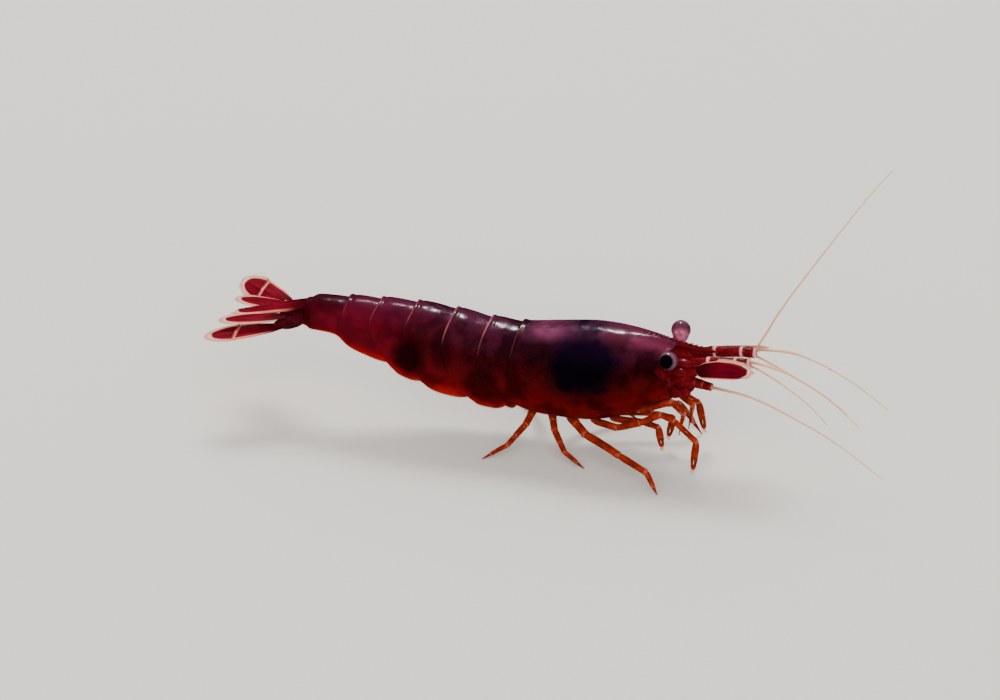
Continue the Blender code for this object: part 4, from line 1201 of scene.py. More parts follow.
def build_telson_plate():
    def half(t):
        return float(np.interp(t, [0, 0.3, 0.6, 0.88, 0.96, 1.0], [0.56, 0.62, 0.5, 0.34, 0.26, 0.06]))

    thickness = sizes().blade / MM * 1.4
    plate, rim = leaf_blade(
        "telson_plate", TELSON, (half, half), 0, 0.16, thickness, material_of("blade"), rows=50
    )
    along, across, up = blade_space(*TELSON, 0)
    # Four pairs of small spines stand on its upper face.
    spots = []
    for t, y in ((0.42, 0.22), (0.56, 0.2), (0.70, 0.17), (0.84, 0.14)):
        base = Vector(TELSON[0]).lerp(Vector(TELSON[1]), t)
        for sign in (1, -1):
            spots.append((base + across * y * sign + up * 0.09, along + up * 0.35, 0.16))
    spines = bristles("telson_spines", spots, material_of("spine"), width=0.045, spread=0.0)
    hairs = fringe(
        "telson_fringe", rim, lambda t, edge_sign: t > 0.93, lambda t: 0.3, each=4, lean=2.0, seed=11
    )
    return joined("telson_shell", [plate, spines, hairs])


def build_fan_blade(side, inner):
    sign = sign_of(side)
    ends = (INNER_BLADES if inner else OUTER_BLADES)[side]
    name = f"uropod_{'inner' if inner else 'outer'}_{side}"
    material = material_of("blade" if inner else "seamed blade")
    wide = oval(0.47, 0.5, 0.24) if inner else oval(0.74, 0.64, 0.16)
    corner = 0.72

    def outer_edge(t):
        """The outer margin of the outer blade is nearly straight up to its corner."""
        if inner or t > corner:
            return wide(t)
        return float(np.interp(t, [0, 0.08, 0.2, 0.4, corner], [0.12, 0.28, 0.46, 0.62, wide(corner)]))

    left_of, right_of = reaches = (wide, outer_edge) if sign > 0 else (outer_edge, wide)
    roll = -math.radians((INNER_ROLLS if inner else OUTER_ROLLS)[side]) * sign
    grid = {"rows": 50, "columns": 29, "ridge": 0.05, "turned": sign < 0}
    blade, rim = leaf_blade(name + "_blade", ends, reaches, roll, 0.06, sizes().blade / MM, material, **grid)

    def fringed(t, edge_sign):
        if inner:
            return t > 0.12
        return t > (0.32 if edge_sign == sign else 0.70)

    def hair_length(t):
        return sizes().fringe / MM * (0.55 + 0.45 * ease(t))

    parts = [blade, fringe(name + "_fringe", rim, fringed, hair_length, each=4, lean=0.9, seed=21)]
    if not inner:
        # A row of small spines follows the seam, with a larger one at each end.
        along, across, up = blade_space(*ends, roll)
        root, tip = Vector(ends[0]), Vector(ends[1])
        spots = []
        for k in range(14):
            s = -0.92 + 1.84 * k / 13
            t = SEAM_AT - SEAM_SLANT * (1 + s * sign) / 2
            reach = (left_of if s > 0 else right_of)(t)
            spot = root + along * ((tip - root).length * t) + across * (reach * s) + up * 0.05
            spots.append((spot, along + up * 0.2, 0.13 if abs(s) < 0.85 else 0.24))
        parts.append(bristles(name + "_seam", spots, material_of("spine"), width=0.045, spread=0.0))
    return joined(name + "_leaf", parts)


def build_fan_arm(side):
    route = smooth_route(sided(FAN_ARMS, side), 11)
    radii = [0.24, 0.36, 0.42, 0.45, 0.46, 0.46, 0.44, 0.4, 0.33, 0.23, 0.08]
    material = material_of("tail base")
    arm = rod(f"uropod_arm_{side}", route, radii, material, sides=18, flatten=0.8)
    root = lumps("tail_root", side, material, [((-15.05, 0.26, 5.28), (1.05, 0.4, 0.4), (0, 0, 0))])
    return joined(f"uropod_arm_{side}", [arm, *root])


# --- Head --------------------------------------------------------------------------------------------

STALK_ROOT = (4.5, 0.35, 5.72)  # with y outward
# How far each globe is moved back and up from its place in EYES.
EYE_LIFT = Vector((-0.04, 0, 0.1))


def build_eye_globe(side):
    centre = EYES[side] + EYE_LIFT
    radius = sizes().eye / MM
    root = sided([STALK_ROOT], side)[0]
    out = (centre - root).normalized()
    polar = np.linspace(0.03, math.pi - 0.03, 25)
    route = [centre - out * radius * math.cos(a) for a in polar]
    radii = np.sin(polar) * radius
    return rod(f"eye_globe_{side}", route, radii, material_of("eye"), sides=36, shares=polar / math.pi)


def build_eye_stalk(side):
    root = sided([STALK_ROOT], side)[0]
    centre = EYES[side] + EYE_LIFT
    ts = np.linspace(0, 1, 12)
    route = [root.lerp(centre, t * 0.82) for t in ts]
    radii = 0.19 + 0.05 * ts + 0.19 * ease((ts - 0.45) / 0.55)
    radii[-1] *= 0.9
    shares = mix(0.6, 0.95, ts)
    return rod(f"eyestalk_{side}_shell", route, radii, material_of("stalk"), sides=20, shares=shares)


# Lumps of the head's front, as rows for lumps: the cheek, then where each feeler and its scale begin.
HEAD_LUMPS = [
    ((3.3, 0.72, 4.7), (1.0, 0.6, 0.85), (0, 0, 0)),
    ((5.05, 0.60, 5.62), (0.55, 0.36, 0.3), (0, 8, 4)),
    ((5.0, 0.86, 4.86), (0.5, 0.3, 0.38), (0, -8, 8)),
    ((4.95, 0.98, 5.3), (0.46, 0.26, 0.28), (0, 0, 10)),
]


def spine(name, side, root, way, length):
    """One spine on a side of the body; root and way have y outward."""
    spot, way = sided([root, way], side)
    return bristles(name, [(spot, way, length)], material_of("spine"), width=0.12, spread=0)


def build_head_front():
    head = material_of("head")
    start, end = 2.8, 5.36
    xs = np.linspace(start, end, 18)
    t = (xs - start) / (end - start)
    route = np.column_stack([xs, 0 * xs, 5.12 + 0.12 * t])
    radii = np.interp(xs, [2.8, 4.2, 4.9, 5.25, 5.36], [0.7, 0.86, 0.74, 0.6, 0.4])
    pieces = [rod("head_core", route, radii, head, sides=24, shares=mix(0.3, 0.7, t))]
    pieces.append(lump("eye_bridge", (4.35, 0, 5.9), (0.75, 0.55, 0.34), head, (0, 6, 0)))
    pieces.append(lump("throat", (3.35, 0, 4.2), (1.35, 0.78, 0.66), head, (0, -12, 0)))
    for side in SIDES:
        pieces += lumps("head_lump", side, head, HEAD_LUMPS)
        pieces.append(spine("head_spine", side, (5.2, 1.1, 5.18), (0.9, 0.35, -0.05), 0.34))
    return joined("head_front", pieces)


def segment(name, start, end, r0, r1, material, flare=1.1, bulge=0.06, flatten=1.0, bow=0.0):
    """One limb segment: narrow where it is hinged, and slightly flared near its far end."""
    start, end = Vector(start), Vector(end)
    ts = np.array([0.0, 0.015, 0.06, 0.16, 0.34, 0.52, 0.7, 0.84, 0.93, 0.975, 1.0])
    girth = np.array([0.45, 0.75, 0.94, 1, 1, 1, 1, 1.02, flare, flare, 0.72])
    length = (end - start).length
    across = (end - start).cross(Vector((0, 0, 1)))
    lift = across.cross(end - start).normalized() if across.length > 1e-6 else Vector((0, 0, 0))
    route = [start.lerp(end, t) + lift * (bow * length * math.sin(math.pi * t)) for t in ts]
    radii = mix(r0, r1, ts) * (1 + bulge * np.sin(np.pi * ts)) * girth
    return rod(name, route, radii, material, flatten=flatten, shares=ts)


def limb(name, joints, radii, tapered_tip=True, bows=None, stout=1.0, shell="limb"):
    """A limb of hinged segments with a soft ball of membrane at each hinge. bows give how far each
    segment is bent, as a share of its length."""
    parts = []
    scale = sizes().limb * stout
    for k in range(len(joints) - 1):
        r0, r1 = radii[k] * scale, radii[k + 1] * scale
        last = tapered_tip and k == len(joints) - 2
        bow = bows[k] if bows else 0.0
        if last:
            ts = np.linspace(0, 1, 9)
            route = [Vector(joints[k]).lerp(Vector(joints[k + 1]), t) for t in ts]
            taper = mix(r0, 0.02, ts**0.8) * np.where(ts == 0, 0.6, 1)
            parts.append(rod(name, route, taper, material_of(shell), sides=10, shares=mix(0.1, 0.9, ts)))
        else:
            parts.append(segment(name, joints[k], joints[k + 1], r0, r1, material_of(shell), bow=bow))
        if k:
            ball = [radii[k] * scale * 0.93] * 3
            parts.append(lump(name, joints[k], ball, material_of("membrane"), sides=10))
    return parts


# Routes of the feelers and joints of their bases, with y outward.
ANTENNULE_JOINTS = [(5.3, 0.6, 5.68), (6.25, 0.6, 5.9), (7.62, 0.6, 6.09), (8.28, 0.6, 6.13)]
FEELERS = {
    "antennule_outer_left": [
        (8.24, 0.66, 6.2), (8.8, 0.74, 6.3), (10.6, 0.95, 6.12), (13.0, 1.0, 5.1), (15.1, 0.9, 3.75),
    ],
    "antennule_inner_left": [
        (8.24, 0.54, 6.04), (8.8, 0.5, 5.85), (10.0, 0.42, 5.35), (11.8, 0.32, 4.5), (13.2, 0.3, 3.5),
    ],
    "antennule_outer_right": [
        (8.24, 0.66, 6.2), (8.8, 0.8, 6.32), (10.4, 1.3, 6.26), (12.6, 2.0, 5.6), (14.5, 2.6, 4.5),
    ],
    "antennule_inner_right": [
        (8.24, 0.54, 6.04), (8.8, 0.55, 5.84), (9.9, 0.62, 5.3), (11.4, 0.85, 4.45), (12.5, 1.05, 3.5),
    ],
    "antenna_left": [
        (6.5, 1.1, 4.82), (7.45, 1.7, 4.82), (8.16, 2.4, 5.85),
        (9.38, 3.2, 8.06), (12.43, 4.9, 12.62), (13.92, 5.7, 14.58),
    ],
    "antenna_right": [
        (6.5, 1.1, 4.82), (8.6, 1.4, 4.7), (10.6, 1.9, 4.3), (13.4, 2.9, 3.6), (16.2, 4.4, 2.75),
    ],
}
ANTENNA_JOINTS = [(5.3, 0.84, 4.86), (5.72, 0.92, 4.84), (6.12, 1.02, 4.83), (6.56, 1.11, 4.82)]
SCALE = [(5.8, 1.22, 5.7), (8.62, 1.42, 6.08)]


def build_antennule_base(side):
    joints = sided(ANTENNULE_JOINTS, side)
    parts = limb(f"antennule_{side}", joints, [0.27, 0.27, 0.25, 0.25], tapered_tip=False, shell="head")
    for joint, radius in zip(joints[1:], (0.28, 0.26, 0.24)):
        band = [joint + Vector((dx, 0, 0.1 * dx)) for dx in (-0.14, -0.1, 0.0, 0.08, 0.11)]
        girths = radius * np.array([0.9, 1.02, 1.07, 1.03, 0.85])
        parts.append(rod("band", band, girths, material_of("collar")))
    parts.append(spine("spike", side, (5.6, 0.9, 5.76), (0.95, 0.12, 0.2), 0.75))
    rng = np.random.default_rng(5)
    spots = []
    for joint in joints[1:]:
        for k in range(10):
            turn = 2 * math.pi * k / 10
            out = Vector((0, math.cos(turn), math.sin(turn)))
            spots.append((joint + out * 0.24, Vector((1.0, 0, 0)) + out * 0.5, 0.16 + 0.1 * rng.random()))
    parts.append(bristles("hairs", spots, material_of("bristle"), width=0.018, tip=0.3))
    return joined(f"antennule_{side}_base", parts)


def side_in(name):
    return name.rsplit("_", 1)[1]


def build_feeler(name):
    knots = sided(FEELERS[name], side_in(name))
    length = sum((b - a).length for a, b in zip(knots, knots[1:]))
    point_spacing = 0.1
    count = int(length / point_spacing)
    route = smooth_route(knots, count)
    ts = np.linspace(0, 1, count)
    root, tip = sizes().feeler_root / MM, sizes().feeler_tip / MM
    thick = 1.25 if name.startswith("antenna_") else 1.0
    radii = mix(root * thick, tip, ts**0.7) + 0.05 * bump(ts, 0.015)
    if "outer" in name:
        radii += 0.02 * ease((0.35 - ts) / 0.1)
    feeler = ringed_rod(f"feeler_{name}_rod", route, radii, material_of("feeler"))
    rng = np.random.default_rng(len(name))
    spots = []
    for k in range(6, count - 2, 3):
        step = Vector(route[k + 1] - route[k]).normalized()
        turn = rng.random() * 2 * math.pi
        first = step.cross(Vector((0, 0, 1))).normalized()
        out = first * math.cos(turn) + step.cross(first) * math.sin(turn)
        spots.append((Vector(route[k]), out + step * 0.9, 0.09 + 0.05 * rng.random()))
    hairs = bristles("hairs", spots, material_of("bristle"), width=0.014, tip=0.4)
    return joined(f"{name}_ringed", [feeler, hairs])


def build_antenna_base(side):
    joints = sided(ANTENNA_JOINTS, side)
    parts = limb(f"antenna_{side}", joints, [0.27, 0.25, 0.22, 0.19], tapered_tip=False, shell="head")
    stem = smooth_route(sided([(5.15, 0.9, 5.1), (5.6, 1.08, 5.45), (6.05, 1.2, 5.68)], side), 9)
    parts.append(rod("scale_stem", stem, np.linspace(0.34, 0.12, 9), material_of("head"), sides=16))
    return joined(f"antenna_{side}_base", parts)


def build_scale_blade(side):
    sign = sign_of(side)
    ends = root, tip = sided(SCALE, side)

    def outer_edge(t):
        shares = [0, 0.04, 0.12, 0.7, 0.84, 0.94, 1.0]
        return float(np.interp(t, shares, [0.12, 0.3, 0.43, 0.43, 0.35, 0.22, 0.04]))

    def inner_edge(t):
        shares = [0, 0.04, 0.12, 0.35, 0.62, 0.82, 0.94, 1.0]
        return float(np.interp(t, shares, [0.12, 0.3, 0.45, 0.58, 0.54, 0.41, 0.24, 0.04]))

    # Seen along the blade from its root, the animal's outer side is on the left of a left-hand scale.
    reaches = (outer_edge, inner_edge) if sign > 0 else (inner_edge, outer_edge)
    roll = -sign * math.radians(38)
    grid = {"columns": 25, "ridge": 0.03, "turned": sign < 0}
    thickness = sizes().blade / MM
    name = f"scale_{side}_blade"
    blade, rim = leaf_blade(name, ends, reaches, roll, 0.1, thickness, material_of("scale"), **grid)

    def fringed(t, edge_sign):
        return t > (0.86 if edge_sign == sign else 0.3)

    hairs = fringe(f"scale_{side}_fringe", rim, fringed, lambda t: 0.24, each=4, lean=1.1, seed=31)
    # A spike points forward from the outer corner.
    along, across, _ = blade_space(root, tip, roll)
    corner = root + along * ((tip - root).length * 0.74) + across * (0.35 * sign)
    spots = [(corner, along - across * (0.12 * sign), 0.56)]
    spike = bristles("spike", spots, material_of("spine"), width=0.1, spread=0)
    return joined(f"antenna_scale_{side}_blade", [blade, hairs, spike])


# --- Limbs -------------------------------------------------------------------------------------------

# A walking leg: where its hip is along the body, its knee and ankle, and x and y of its foot on the
# floor. y is outward, as in the routes of the grasping limbs below.
Walker = namedtuple("Walker", "hip_x knee ankle foot")
WALKERS = {
    "leg_3_right": Walker(-0.9, (0.15, 1.38, 1.33), (3.95, 3.78, 1.0), (4.62, 4.15)),
    "leg_4_right": Walker(-1.85, (-1.5, 1.2, 1.22), (-0.7, 2.2, 0.62), (0.4, 2.5)),
    "leg_5_right": Walker(-2.8, (-2.98, 1.25, 1.38), (-3.64, 2.35, 0.66), (-4.8, 2.95)),
    "leg_3_left": Walker(-0.9, (0.3, 1.3, 1.62), (4.0, 2.4, 1.72), (5.1, 2.6)),
    "leg_4_left": Walker(-1.85, (-1.2, 1.3, 1.25), (0.65, 2.75, 0.95), (1.6, 3.2)),
    "leg_5_left": Walker(-2.8, (-2.95, 1.3, 1.4), (-3.5, 2.4, 0.95), (-4.5, 3.15)),
}
# Joints of the clawed legs and of the last mouth limbs, from the hip to the tip.
GRASPERS = {
    "cheliped_1_right": [
        (1.1, 0.36, 2.2), (1.35, 0.4, 1.9), (2.9, 0.6, 2.05), (3.75, 0.8, 1.98), (4.0, 0.95, 0.85),
    ],
    "cheliped_1_left": [
        (1.1, 0.36, 2.2), (1.35, 0.4, 1.88), (3.0, 0.62, 1.95), (4.1, 0.75, 1.78), (3.85, 0.7, 0.6),
    ],
    "cheliped_2_right": [
        (0.1, 0.36, 2.05), (0.4, 0.5, 1.68), (1.7, 1.05, 1.78), (2.97, 1.35, 2.4),
        (4.1, 1.6, 3.15), (4.8, 1.72, 2.98), (6.0, 1.9, 2.05), (5.85, 2.0, 0.4),
    ],
    "cheliped_2_left": [
        (0.1, 0.36, 2.05), (0.4, 0.42, 1.64), (1.7, 1.0, 1.62), (2.97, 1.25, 2.3),
        (4.3, 1.3, 2.95), (5.25, 1.35, 2.5), (5.55, 1.4, 0.9),
    ],
    "maxilliped_right": [
        (2.35, 0.34, 2.75), (2.65, 0.4, 2.6), (4.35, 0.5, 3.35), (5.0, 0.6, 2.85), (4.75, 0.58, 1.55),
    ],
    "maxilliped_left": [
        (2.35, 0.34, 2.75), (2.65, 0.4, 2.6), (4.4, 0.5, 3.35), (5.15, 0.58, 2.75), (4.95, 0.5, 1.35),
    ],
}


def hip_top(x):
    """Height of a hip at x, just inside the lower edge of the shell."""
    return body_at(x).hem + 0.12


def limb_bristles(name, joints, spans, seed, length, each=7):
    """Scattered bristles on the segments that spans names, as (segment, radius)."""
    rng = np.random.default_rng(seed)
    spots = []
    for k, radius in spans:
        start, end = Vector(joints[k]), Vector(joints[k + 1])
        along = (end - start).normalized()
        first = along.cross(Vector((0, 0, 1))).normalized()
        for i in range(each):
            turn = rng.random() * 2 * math.pi
            out = first * math.cos(turn) + along.cross(first) * math.sin(turn)
            spot = start.lerp(end, (i + 0.5) / each) + out * radius * 0.9
            spots.append((spot, out * 0.7 + along, length * (0.7 + 0.6 * rng.random())))
    return bristles(name, spots, material_of("bristle"), width=0.02, tip=0.3, seed=seed)


def build_walking_leg(name):
    walker = WALKERS[name]
    top = hip_top(walker.hip_x)
    hip = Vector((walker.hip_x, 0.38, top))
    coxa = Vector((walker.hip_x, 0.42, top - 0.42))
    knee, ankle, foot = Vector(walker.knee), Vector(walker.ankle), Vector((*walker.foot, 0.02))
    elbow = knee.lerp(ankle, 0.56)
    heel = ankle.lerp(foot, 0.62)
    joints = [hip, coxa, coxa.lerp(knee, 0.42), knee, elbow, ankle, heel, foot]
    joints = sided(joints, side_in(name))
    radii = [0.26, 0.25, 0.21, 0.2, 0.175, 0.15, 0.115, 0.05]
    stout = 1.0 if name.startswith("leg_3") else 0.84
    parts = limb(name, joints, radii, bows=[0, 0, 0, 0.015, 0.0, 0.02, 0, 0], stout=stout)
    spans = [(3, 0.19), (4, 0.16), (5, 0.13)]
    parts.append(limb_bristles(name + "_hairs", joints, spans, len(name), 0.13))
    along = (joints[7] - joints[6]).normalized()
    back = along.cross(Vector((0, 1, 0))).normalized()
    spots = [(joints[6].lerp(joints[7], t), along + back * 0.9, 0.1) for t in (0.2, 0.35, 0.5, 0.65)]
    parts.append(bristles(name + "_spines", spots, material_of("spine"), width=0.035, spread=0.0))
    return joined(name + "_shell", parts)


def claw(name, wrist, tip, radius):
    """A small claw: a palm, two spoon-ended fingers and the brush of bristles on each."""
    wrist, tip = Vector(wrist), Vector(tip)
    along = (tip - wrist).normalized()
    across = along.cross(Vector((0, 1, 0))).normalized()
    parts = [lump(name, wrist, [radius * 0.8] * 3, material_of("membrane"), sides=10)]
    palm_end = wrist.lerp(tip, 0.45)
    palm = (radius * 0.85, radius * 1.1, material_of("limb"))
    parts.append(segment(name, wrist, palm_end, *palm, flare=1.0, bulge=0.15))
    spots = []
    rng = np.random.default_rng(len(name))
    for sign in (1, -1):
        ts = np.linspace(0, 1, 9)
        base = palm_end - along * 0.05 + across * sign * radius * 0.46
        end = tip - along * 0.12 + across * sign * 0.035
        route = [base.lerp(end, t) + across * sign * 0.035 * math.sin(math.pi * t) for t in ts]
        thin = np.interp(ts, [0, 0.1, 0.6, 0.85, 1], [0.5, 0.62, 0.42, 0.45, 0.2]) * radius
        parts.append(rod(name, route, thin, material_of("limb"), sides=10, shares=mix(0.1, 0.9, ts)))
        for _ in range(12):
            stray = Vector(rng.normal(size=3) * 0.22)
            spot = end - along * (0.02 + 0.1 * rng.random())
            spots.append((spot, along + stray + across * sign * 0.15, 0.3))
    parts.append(bristles(name, spots, material_of("bristle"), width=0.018, tip=0.4, seed=9))
    return parts


def build_grasping_limb(name):
    joints = sided(GRASPERS[name], side_in(name))
    joints[0].z = hip_top(joints[0].x)
    if name.startswith("cheliped"):
        # The arm ends at the wrist, and the claw reaches from there to the last point.
        arm = joints[:-1]
        radii = list(np.linspace(0.23, 0.17, len(arm)))
        parts = limb(name, arm, radii, tapered_tip=False, stout=0.82)
        parts += claw(name + "_claw", joints[-2], joints[-1], 0.17)
        parts.append(limb_bristles(name + "_hairs", arm, [(len(arm) - 2, 0.16)], len(name), 0.16))
        return joined(name + "_shell", parts)
    parts = limb(name, joints, [0.22, 0.22, 0.2, 0.18, 0.1], stout=0.85)
    # The last segment bears three rows of bristles.
    spans = [(2, 0.16), (3, 0.12), (3, 0.12), (3, 0.1)]
    parts.append(limb_bristles(name + "_hairs", joints, spans, len(name), 0.26, each=10))
    return joined(name + "_shell", parts)


# Leaf-shaped lobes beside the mouth, as rows for lumps.
MOUTH_LOBES = [
    ((4.72, 0.33, 4.05), (0.5, 0.16, 0.4), (0, 25, 12)),
    ((4.92, 0.26, 3.95), (0.42, 0.14, 0.34), (0, 40, 16)),
    ((4.4, 0.42, 3.9), (0.45, 0.14, 0.36), (0, 10, 6)),
]


def build_mouth():
    """The overlapping mouth limbs below the head: leaf-shaped lobes, and a whip on each side."""
    parts = [lump("mouth", (4.55, 0, 4.05), (0.6, 0.42, 0.42), material_of("head"))]
    for side in SIDES:
        parts += lumps("mouth", side, material_of("head"), MOUTH_LOBES)
        whip = smooth_route(sided([(4.3, 0.5, 3.95), (4.9, 0.62, 4.2), (5.3, 0.55, 4.42)], side), 12)
        parts.append(rod("mouth", whip, np.linspace(0.06, 0.02, 12), material_of("head"), sides=8))
    return joined("mouth_limbs", parts)


def build_keel():
    """The breastplate between the legs, raised at each pair of hips."""
    hip_spacing = 0.95
    xs = np.linspace(-3.3, 3.8, 70)
    low = np.array([body_at(x).hem + 0.02 for x in xs])
    ripple = 0.05 * np.sin((xs + 3.25) / hip_spacing * 2 * math.pi)
    top = low + 0.5
    route = np.column_stack([xs, 0 * xs, (low + top) / 2])
    radii = (top - low) / 2 + ripple
    return rod("breastplate", route, radii, material_of("limb"), sides=18, shares=0.3 + 0 * xs)


def build_swimming_leg(number, side):
    """A swimming leg: a short stem and two fringed paddles that point back and down, the first pair's
    more steeply."""
    x = SWIMMER_X[number - 1]
    body = body_at(x)
    sign = sign_of(side)
    roof = body.hem + CHANNEL
    y = (body.hem_half - 0.5) / 2 * sign
    root, knee = Vector((x + 0.22, y, roof + 0.1)), Vector((x + 0.05, y, roof - 0.38))
    name = f"pleopod_{number}_{side}"
    parts = [segment(name, root, knee, 0.15, 0.17, material_of("limb"), flatten=0.7)]
    length, fall = (1.05, -1.0) if number == 1 else (0.78 - 0.03 * number, -0.5)
    wide = oval(0.17, 0.5, 0.06)
    for k, (spread, drop) in enumerate(((0.05, 0.0), (-0.05, 0.06))):
        tip = knee + Vector((-0.75, spread * sign, fall + drop)).normalized() * length
        ends = (knee + Vector((0, spread * sign, 0)), tip)
        paddle = (ends, (wide, wide), 0.25 * sign, 0.03, 0.05, material_of("blade"))
        blade, rim = leaf_blade(name, *paddle, rows=16, columns=7)
        seed = 40 + number + k
        hairs = fringe(name, rim, lambda t, edge_sign: t > 0.2, lambda t: 0.2, each=1, lean=0.9, seed=seed)
        parts += [blade, hairs]
    return joined(name + "_paddles", parts)


# --- Operators ---------------------------------------------------------------------------------------


class SHRIMP_OT_carapace(bpy.types.Operator):
    """Builds the carapace, the breastplate, and the flesh inside the whole shell"""

    bl_idname = "shrimp.carapace"
    bl_label = "Carapace"

    def execute(self, context):
        keep(build_carapace_shell(), ["carapace"])
        keep(build_flesh(), [])
        keep(build_keel(), ["sternum"])
        return {"FINISHED"}


class SHRIMP_OT_rostrum(bpy.types.Operator):
    """Builds the toothed rostrum"""

    bl_idname = "shrimp.rostrum"
    bl_label = "Rostrum"

    def execute(self, context):
        keep(build_rostrum_blade(), ["rostrum"])
        return {"FINISHED"}


class SHRIMP_OT_abdomen(bpy.types.Operator):
    """Builds the six overlapping plates of the abdomen"""

    bl_idname = "shrimp.abdomen"
    bl_label = "Abdomen plates"

    def execute(self, context):
        for i in range(6):
            keep(build_abdomen_plate(i), [f"abdomen_{6 - i}"])
        return {"FINISHED"}


class SHRIMP_OT_tail_fan(bpy.types.Operator):
    """Builds the tail plate, and the two blades on each side of it with their fringes"""

    bl_idname = "shrimp.tail_fan"
    bl_label = "Tail fan"

    def execute(self, context):
        keep(build_telson_plate(), ["telson"])
        for side in SIDES:
            keep(build_fan_arm(side), [f"uropod_base_{side}"])
            keep(build_fan_blade(side, inner=True), [f"uropod_inner_{side}"])
            keep(build_fan_blade(side, inner=False), [f"uropod_outer_{side}"])
        return {"FINISHED"}


class SHRIMP_OT_head(bpy.types.Operator):
    """Builds the front of the head and the mouth limbs"""

    bl_idname = "shrimp.head"
    bl_label = "Head and mouth"

    def execute(self, context):
        keep(build_head_front(), ["head"])
        keep(build_mouth(), ["mouthparts"])
        return {"FINISHED"}


class SHRIMP_OT_eyes(bpy.types.Operator):
    """Builds both eyes and their stalks"""

    bl_idname = "shrimp.eyes"
    bl_label = "Eyes"

    def execute(self, context):
        for side in SIDES:
            keep(build_eye_globe(side), [f"eye_{side}"])
            keep(build_eye_stalk(side), [f"eyestalk_{side}"])
        return {"FINISHED"}


class SHRIMP_OT_feelers(bpy.types.Operator):
    """Builds the bases, the scales and the ringed feelers"""

    bl_idname = "shrimp.feelers"
    bl_label = "Feelers"

    def execute(self, context):
        for side in SIDES:
            keep(build_antennule_base(side), [f"antennule_{side}"])
            keep(build_antenna_base(side), [f"antenna_base_{side}"])
            keep(build_scale_blade(side), [f"antenna_scale_{side}"])
        for name in FEELERS:
            keep(build_feeler(name), [f"feeler_{name}"])
        return {"FINISHED"}


class SHRIMP_OT_grasping_limbs(bpy.types.Operator):
    """Builds the two pairs of clawed legs and the last pair of mouth limbs"""

    bl_idname = "shrimp.grasping_limbs"
    bl_label = "Clawed legs"

    def execute(self, context):
        for name in GRASPERS:
            keep(build_grasping_limb(name), [name])
        return {"FINISHED"}


class SHRIMP_OT_walking_legs(bpy.types.Operator):
    """Builds the three pairs of walking legs"""

    bl_idname = "shrimp.walking_legs"
    bl_label = "Walking legs"

    def execute(self, context):
        for name in WALKERS:
            keep(build_walking_leg(name), [name])
        return {"FINISHED"}


class SHRIMP_OT_swimming_legs(bpy.types.Operator):
    """Builds the five pairs of swimming legs under the abdomen"""

    bl_idname = "shrimp.swimming_legs"
    bl_label = "Swimming legs"

    def execute(self, context):
        for number in range(1, 6):
            for side in SIDES:
                keep(build_swimming_leg(number, side), [f"pleopod_{number}_{side}"])
        return {"FINISHED"}


FLOOR_REACH = 700.0  # mm from the middle of the floor to its edges
CAMERA_AZIMUTH, CAMERA_ELEVATION = math.radians(16), math.radians(28)
CAMERA_DISTANCE = 600.0  # mm
FRAME_WIDTH = 50.0  # mm of the subject across the picture
SENSOR_WIDTH = 36.0  # mm
CAMERA_AIM = Vector((-4.941, 0.904, 4.194))

# The soft lamps don't show in the gloss, and the strip shows only there: it draws the wet line along
# the back.
Lamp = namedtuple("Lamp", "name place aim width height watts colour")
LAMPS = [
    Lamp("Key", (-90, 210, 336), (-4, 0, 5), 180, 120, 1.3, (1, 1, 1)),
    Lamp("Front fill", (90, -450, 330), (0, 0, 4), 540, 420, 2.6, (1, 0.97, 0.93)),
    Lamp("Rear soft", (-180, 480, 360), (0, 0, 4), 420, 300, 0.8, (0.93, 0.96, 1)),
    Lamp("Gloss strip", (-66, 212, 343), (-4, 0, 5), 36, 24, 1.0, (1, 0.93, 0.95)),
]


def add_light(lamp):
    light = bpy.data.lights.new(lamp.name, "AREA")
    light.shape = "RECTANGLE"
    light.size, light.size_y = lamp.width * MM, lamp.height * MM
    light.energy = lamp.watts
    light.color = lamp.colour
    obj = bpy.data.objects.new(lamp.name, light)
    bpy.context.scene.collection.objects.link(obj)
    place, aim = Vector(lamp.place) + SHIFT, Vector(lamp.aim) + SHIFT
    turn = (place - aim).to_track_quat("Z", "Y").to_matrix().to_4x4()
    obj.matrix_world = Matrix.Translation(place * MM) @ turn
    obj.visible_glossy = lamp.name == "Gloss strip"
    obj.visible_diffuse = not obj.visible_glossy
    obj.visible_camera = False


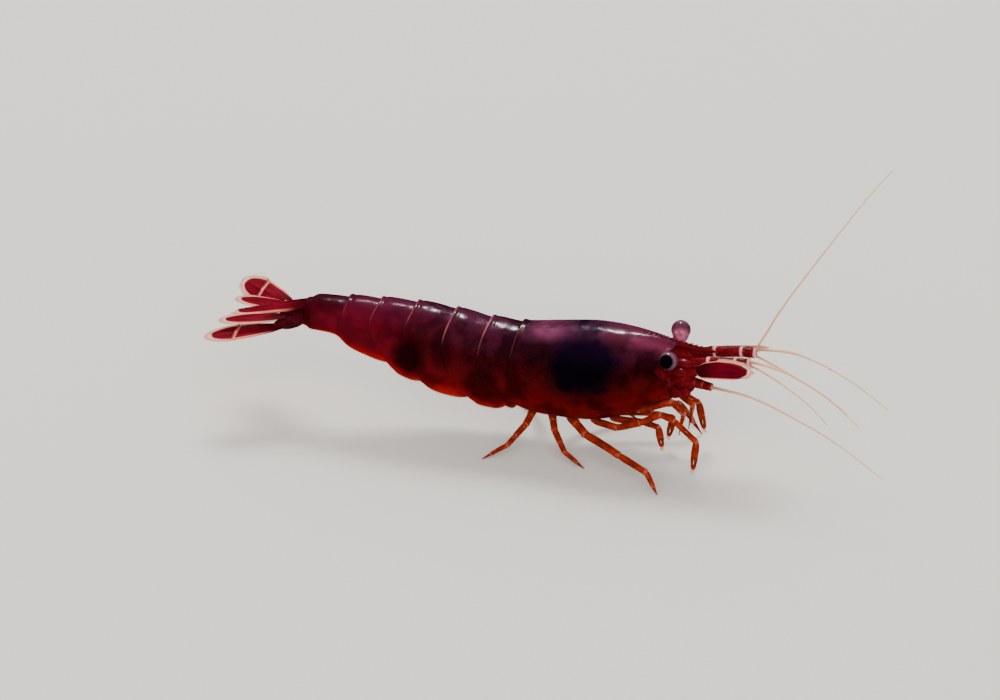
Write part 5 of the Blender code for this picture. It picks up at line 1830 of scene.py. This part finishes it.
class SHRIMP_OT_stage(bpy.types.Operator):
    """Adds the floor, the lights and the camera"""

    bl_idname = "shrimp.stage"
    bl_label = "Stage"

    def execute(self, context):
        scene = context.scene
        half = FLOOR_REACH * MM
        mesh = bpy.data.meshes.new("floor")
        corners = [(-half, -half, 0), (half, -half, 0), (half, half, 0), (-half, half, 0)]
        mesh.from_pydata(corners, [], [(0, 1, 2, 3)])
        # Matt painted board: pale, with no gloss.
        mesh.materials.append(plain("Matt_painted_board", "#E4DED4", Roughness=0.9))
        floor = bpy.data.objects.new("floor", mesh)
        scene.collection.objects.link(floor)
        floor.visible_glossy = False
        world = bpy.data.worlds.new("Soft studio")
        scene.world = world
        world.use_nodes = True
        sky = world.node_tree.nodes["Background"]
        sky.inputs[0].default_value = (0.93, 0.95, 1.0, 1)
        sky.inputs[1].default_value = 0.75
        world.cycles_visibility.glossy = False
        for lamp in LAMPS:
            add_light(lamp)
        lens = bpy.data.cameras.new("camera")
        lens.sensor_width = SENSOR_WIDTH
        lens.lens = SENSOR_WIDTH / FRAME_WIDTH * CAMERA_DISTANCE
        lens.clip_start = 10 * MM
        camera = bpy.data.objects.new("camera", lens)
        scene.collection.objects.link(camera)
        level = math.cos(CAMERA_ELEVATION)
        back = Vector(
            (math.sin(CAMERA_AZIMUTH) * level, -math.cos(CAMERA_AZIMUTH) * level, math.sin(CAMERA_ELEVATION))
        )
        place = (CAMERA_AIM + SHIFT + back * CAMERA_DISTANCE) * MM
        camera.matrix_world = Matrix.Translation(place) @ back.to_track_quat("Z", "Y").to_matrix().to_4x4()
        scene.camera = camera
        return {"FINISHED"}


PIECE_OPERATORS = (
    SHRIMP_OT_carapace,
    SHRIMP_OT_rostrum,
    SHRIMP_OT_abdomen,
    SHRIMP_OT_tail_fan,
    SHRIMP_OT_head,
    SHRIMP_OT_eyes,
    SHRIMP_OT_feelers,
    SHRIMP_OT_grasping_limbs,
    SHRIMP_OT_walking_legs,
    SHRIMP_OT_swimming_legs,
    SHRIMP_OT_stage,
)


class SHRIMP_PT_panel(bpy.types.Panel):
    """Lists the shrimp's pieces"""

    bl_idname = "SHRIMP_PT_panel"
    bl_label = "Aquarium shrimp"
    bl_space_type = "VIEW_3D"
    bl_region_type = "UI"
    bl_category = "Shrimp"

    def draw(self, context):
        for group in (context.scene.shrimp_sizes, context.scene.shrimp_colours):
            box = self.layout.box()
            for key in group.bl_rna.properties.keys():
                if key not in ("rna_type", "name"):
                    box.prop(group, key)
        for operator in PIECE_OPERATORS:
            self.layout.operator(operator.bl_idname)


CLASSES = (SHRIMP_PG_sizes, SHRIMP_PG_colours, *PIECE_OPERATORS, SHRIMP_PT_panel)


def register():
    for cls in CLASSES:
        bpy.utils.register_class(cls)
    bpy.types.Scene.shrimp_sizes = PointerProperty(type=SHRIMP_PG_sizes)
    bpy.types.Scene.shrimp_colours = PointerProperty(type=SHRIMP_PG_colours)


def unregister():
    del bpy.types.Scene.shrimp_colours
    del bpy.types.Scene.shrimp_sizes
    for cls in reversed(CLASSES):
        bpy.utils.unregister_class(cls)


def main():
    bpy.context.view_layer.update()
    register()
    for operator in PIECE_OPERATORS:
        group, action = operator.bl_idname.split(".")
        getattr(getattr(bpy.ops, group), action)()


if __name__ == "__main__":
    main()
